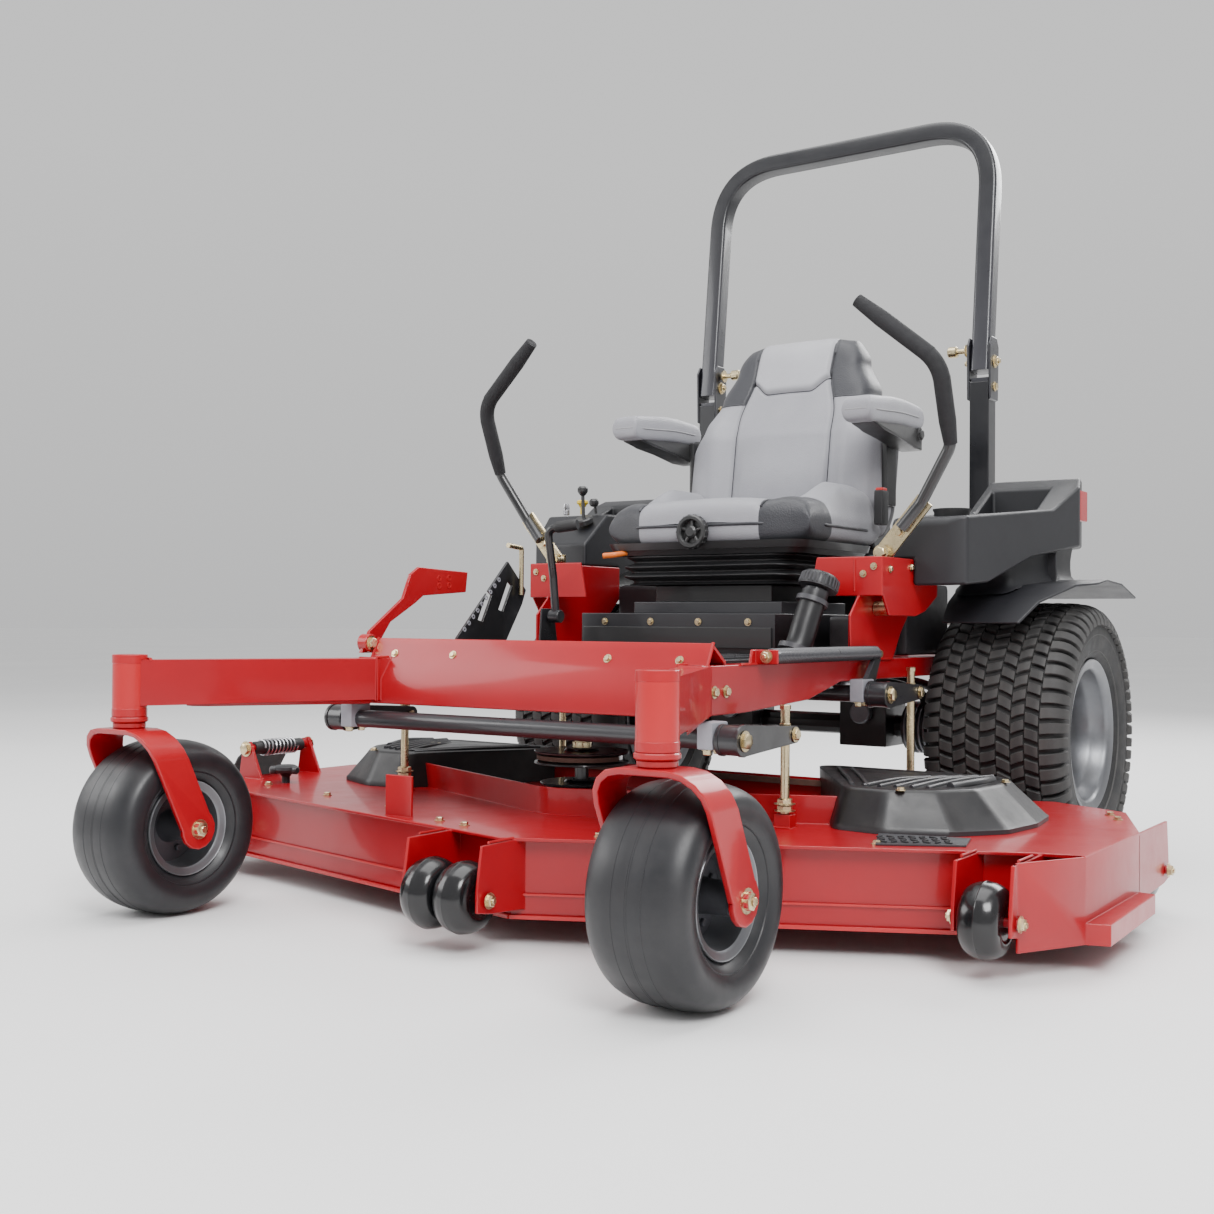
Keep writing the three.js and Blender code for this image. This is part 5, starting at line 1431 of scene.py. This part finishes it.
def back_point(u, v, top):
    x, z = 0.0, 1000.0
    corner = max(0.0, 1 - abs(v) ** 14) ** 0.25
    for _ in range(6):
        line = head_line(x)
        if v < HEAD_SEAM:
            z = 748 + (line - 748) * (v + 1) / (HEAD_SEAM + 1)
        else:
            z = line + (1248 - line) * (v - HEAD_SEAM) / (1 - HEAD_SEAM)
        full = between(HALF_WIDTH, z, True) * (0.86 + 0.14 * corner)
        inner = panel_half(z)
        share = abs(u)
        if share < BACK_SEAM:
            x = inner * share / BACK_SEAM
        else:
            x = inner + (full - inner) * (share - BACK_SEAM) / (1 - BACK_SEAM)
    x = math.copysign(x, u)
    u = x / full
    z -= 10 * smooth_step(0.5, 1.0, abs(u)) * smooth_step(0.7, 1.0, v)
    edge = max(0.0, 1 - abs(u) ** 8) ** (1 / 3.0) * max(0.0, 1 - abs(v) ** 12) ** (1 / 3.0)
    y_front, y_rear = front_y(z), rear_y(z)
    mid = y_front * 0.42 + y_rear * 0.58
    if not top:
        return x, mid + (y_rear - mid) * edge, z
    reach = (mid - y_front) * edge
    panel = panel_half(z)
    seam = abs(x) - panel
    low = 1 - smooth_step(1010, 1090, z)
    bolster = smooth_step(0, 60, seam) * (1 - smooth_step(0.9, 1.0, abs(u)))
    reach += bolster * (24 * low) * edge
    reach += 7 * math.cos(min(1.0, abs(x) / panel) * math.pi / 2) * edge
    reach += groove(seam, 4.5, 9) * edge
    line = z - head_line(x)
    if abs(x) < panel + 3:
        reach += 7 * smooth_step(0, 16, line) * edge + groove(line, 4.0, 6) * edge
    lumbar = 9 * math.exp(-((z - 880) / 70) ** 2) * (1 - smooth_step(90, 128, abs(x)))
    reach += lumbar
    return x, mid - reach, z


SHOULDER = 0.24


def back_pick(u, v, top):
    if not top:
        return 1
    if abs(u) < BACK_SEAM and v > HEAD_SEAM:
        return 2
    if abs(u) > BACK_SEAM and v > SHOULDER:
        return 1
    return 0


backrest = build_pad("backrest_sewn", "backrest", back_point, [VINYL, VINYL_DARK, VINYL_PALE], back_pick,
                     marks((-1, -BACK_SEAM, BACK_SEAM, 1), (34, 56, 34)),
                     marks((-1, SHOULDER, HEAD_SEAM, 1), (70, 14, 44)), 1.0)
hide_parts("seat_back")
PROUD = (0, 0.2, 0)
bm = bmesh.new()
for s in (1, -1):
    seam(bm, back_point, [(s * BACK_SEAM, -0.9 + 1.8 * k / 89) for k in range(90)], PROUD, 0.0024)
    seam(bm, back_point, [(s * (BACK_SEAM + (0.97 - BACK_SEAM) * k / 39), SHOULDER) for k in range(40)],
         PROUD, 0.0020)
seam(bm, back_point, [(-BACK_SEAM + 2 * BACK_SEAM * k / 59, HEAD_SEAM) for k in range(60)], PROUD, 0.0022)
place("backrest_piping", bm, "backrest", VINYL_DARK, "vinyl", 80)
bm = bmesh.new()
for s in (1, -1):
    rod(bm, P(s * 250, 490, 985), P(s * 270.6, 490, 985), 0.0222, 36, 0.002)
    block(bm, (s * 262 - 7, 452, 820), (s * 262 + 7, 510, 1000), 5)
place("armrest_posts", bm, "backrest", SHROUD, "black_paint", 35, True)

for label, s in SIDES:
    body = f"arm_{label}"

    def arm_point(u, v, top):
        y = 204 + 308 * (v + 1) / 2
        lift = 22 * smooth_step(-1, 0.4, v) - 4
        edge = max(0.0, 1 - abs(u) ** 8) ** (1 / 3.0) * max(0.0, 1 - abs(v) ** 20) ** (1 / 3.0)
        mid = 1014 + lift * 0.5
        x = s * (303 + (33 + 3 * math.exp(-((v + 0.3) / 0.7) ** 2)) * u)
        if top:
            return x, y, mid + (28 + 7 * math.exp(-((v + 0.1) / 0.9) ** 2)) * edge
        return x, y, mid - 27 * edge
    pad_piece = build_pad(f"armrest_pad_{label}", body, arm_point, [VINYL], lambda u, v, top: 0,
                          marks((-1, 0, 1), (22, 22)), marks((-1, 0, 1), (44, 44)), 0.6)
    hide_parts(f"armrest_{label}")
    bm = bmesh.new()
    line = []
    for k in range(90):
        a = 2 * math.pi * k / 90
        u, v = max(-0.99, min(0.99, 1.25 * math.cos(a))), max(-0.99, min(0.99, 1.25 * math.sin(a)))
        x, y, z = arm_point(u, v, True)
        line.append(P(s * 303 + (x - s * 303) * 1.012, 358 + (y - 358) * 1.003,
                      1014 + (22 * smooth_step(-1, 0.4, v) - 4) * 0.5))
    sweep(bm, line + [line[0]], ring(0.0018, 8), False)
    place(f"armrest_seam_{label}", bm, body, THREAD, "vinyl", 80)
    bm = bmesh.new()
    plate(bm, [(240, 984), (300, 974), (380, 966), (470, 952), (516, 950), (518, 1000), (486, 1004),
               (300, 994), (240, 990)],
          0, 276 if s > 0 else -330, 54, 4)
    hexagon(bm, P(s * 334, 492, 985), (s, 0, 0), 12, 6, True)
    place(f"armrest_base_{label}", bm, body, SHROUD, "black_paint", 35)

# belt buckle beside the cushion
bm = bmesh.new()
block(bm, (268, 380, 770), (290, 416, 850), 4)
place("belt_buckle", bm, "seat", SHROUD, "dark_plastic", 35, True)
bm = bmesh.new()
block(bm, (270, 384, 848), (288, 412, 856), 3)
place("buckle_button", bm, "seat", KNOB_RED, None, 35, True)

# ---------------------------------------------------------------- roll bar

dress("roll_bar_base", CHARCOAL, 2.4)
HOOP_X, HINGE_Y, PIN_Z, HOOP_TOP = 386, 763, 1222, 1802
corners = [P(-HOOP_X, 760, 1166), P(-HOOP_X, 829, HOOP_TOP), P(HOOP_X, 829, HOOP_TOP), P(HOOP_X, 760, 1166)]
bm = bmesh.new()
sweep(bm, rounded(corners, 0.17, 18), rounded_box_ring(0.023, -0.025, 0.025, 0.008, 5), True, (0, 1, 0))
hoop = place("roll_hoop_tube", bm, "hoop", CHARCOAL, "black_paint", 50)
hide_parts("roll_hoop")
for s in (1, -1):
    for e in (1, -1):
        x = s * HOOP_X + e * 30.5
        bolt("chassis", (x, HINGE_Y, 1190), (e, 0, 0), 12, 8, "zinc", True, 5)
        bolt("chassis", (x, HINGE_Y, 1128), (e, 0, 0), 9, 6, "zinc")
bm = bmesh.new()
for s in (1, -1):
    block(bm, (s * HOOP_X - 22, 741, 1136), (s * HOOP_X + 22, 785, 1150), 2)
place("hinge_stops", bm, "chassis", CHARCOAL, "black_paint", 35, True)
for label, s in SIDES:
    bm = bmesh.new()
    rod(bm, P(s * 310, HINGE_Y, PIN_Z), P(s * 355.6, HINGE_Y, PIN_Z), 0.0068, 20, 0.001)
    rod(bm, P(s * 298, HINGE_Y, PIN_Z), P(s * 322, HINGE_Y, PIN_Z), 0.0138, 32, 0.003)
    hexagon(bm, P(s * 344, HINGE_Y, PIN_Z), (s, 0, 0), 12, 7, True)
    piece = place(f"lock_pin_{label}_turned", bm, f"pin_{label}", ZINC, "zinc")
    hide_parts(f"lock_pin_{label}")

# ---------------------------------------------------------------- power unit

dress("engine", SHROUD, 3.0, 2)
SHAFT, CLEANER, MUFFLER = P(0, 730, 0), P(0, 690, 780), P(0, 978, 560)
bm = bmesh.new()
turn(bm, mm([(168.5, 640), (171, 640), (171, 652), (168.5, 652)]), SHAFT, (0, 0, 1), 72)
turn(bm, mm([(60, 730), (150, 730), (160, 724), (168.6, 712), (168.6, 700), (150, 726), (60, 727)]), SHAFT,
     (0, 0, 1), 72)
place("fan_bezel", bm, "chassis", SHROUD, "black_paint")
bm = bmesh.new()
for k in range(7):
    r = 62 + k * 13
    turn(bm, mm([(r - 1.6, 730), (r + 1.6, 730), (r + 1.2, 735), (r - 1.2, 735)]), SHAFT, (0, 0, 1), 64)
for k in range(12):
    a = math.pi * k / 6
    rod(bm, P(52 * math.cos(a), 730 + 52 * math.sin(a), 732),
        P(146 * math.cos(a), 730 + 146 * math.sin(a), 732), 0.0022, 8)
turn(bm, mm([(0, 737), (50, 737), (56, 733), (56, 728), (0, 728)]), SHAFT, (0, 0, 1), 48, False)
place("fan_grille", bm, "chassis", ALLOY, None)
bm = bmesh.new()
for s in (1, -1):
    for k in range(9):
        turned = Matrix.Translation(P(s * 165, 815, 574 + k * 9)) @ Matrix.Rotation(s * 0.6, 4, "Z")
        block(bm, (-60, -71, -1.6), (60, 71, 1.6), 0.8, turned)
place("head_fins", bm, "chassis", ALLOY, None, 35)
bm = bmesh.new()
turn(bm, mm([(0, -152), (56, -152), (63, -147), (64, -128), (62, -126), (62, 126), (64, 128), (63, 147),
             (56, 152), (0, 152)]),
     CLEANER, (1, 0, 0), 64, False)
for off in (-128, 128):
    turn(bm, mm([(62, off - 3), (66, off - 3), (66, off + 3), (62, off + 3)]), CLEANER, (1, 0, 0), 64)
place("air_cleaner", bm, "chassis", SHROUD, "black_paint")
bm = bmesh.new()
rod(bm, P(0, 618, 560), P(0, 560, 548), 0.038, 48, 0.004)
rod(bm, P(-150, 640, 600), P(-150, 700, 660), 0.016, 24, 0.002)
place("oil_filter", bm, "chassis", YELLOW, None)
bm = bmesh.new()
turn(bm, mm([(0, -191), (44, -191), (53, -186), (57.4, -176), (57.4, 176), (53, 186), (44, 191), (0, 191)]),
     MUFFLER,
     (1, 0, 0), 64, False)
for off in (-120, 120):
    turn(bm, mm([(57, off - 8), (60, off - 8), (60, off + 8), (57, off + 8)]), MUFFLER, (1, 0, 0), 64)
rod(bm, P(186, 978, 560), P(233, 978, 560), 0.0185, 32, 0.001)
for s in (1, -1):
    sweep(bm, spline([P(s * 140, 970, 570), P(s * 168, 946, 596), P(s * 176, 912, 606)], 6),
          ring(0.0155, 20))
piece = place("muffler_can", bm, "chassis", HEAT, "steel")
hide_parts("muffler")
bm = bmesh.new()
turn(bm, mm([(0, 455), (20, 455), (20, 437), (62, 437), (66, 434), (66, 402), (62, 400), (54, 399),
             (64, 397), (52, 390), (52, 384),
             (64, 377), (20, 375), (20, 372), (0, 372)]), SHAFT, (0, 0, 1), 56, False)
piece = place("clutch_turned", bm, "clutch", STEEL, "steel")
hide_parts("clutch_pulley")

bm = bmesh.new()
sweep(bm, rounded([P(-360, 820.3, 452), P(-360, 1067, 452), P(360, 1067, 452), P(360, 820.3, 452)], 0.09,
                  10), ring(0.0192, 28))
sweep(bm, rounded([P(-300, 1065, 452), P(-300, 1065, 700), P(300, 1065, 700), P(300, 1065, 452)], 0.07, 10),
      ring(0.0142, 24))
block(bm, (-300, 1059, 560), (300, 1067, 580), 1.6)
plate(bm, [(-52, 400), (52, 400), (60, 408), (60, 500), (-60, 500), (-60, 408)], 1, 1081, 8, 1.2)
for s in (1, -1):
    block(bm, (s * 60 - 8, 1049, 440), (s * 60 + 8, 1085, 464), 1.6)
guard = place("rear_guard_tubes", bm, "chassis", BLACK, "black_paint", 50)
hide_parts("rear_guard")

for (body, kind), bm in BOLTS.items():
    place(f"bolts_{body}_{kind}", bm, body, ZINC if kind == "zinc" else BLACK, "zinc")

# nodes not replaced above
for name, ob in NODES.items():
    if not ob.hide_render:
        ob.data.materials.clear()
        ob.data.materials.append(BLACK)
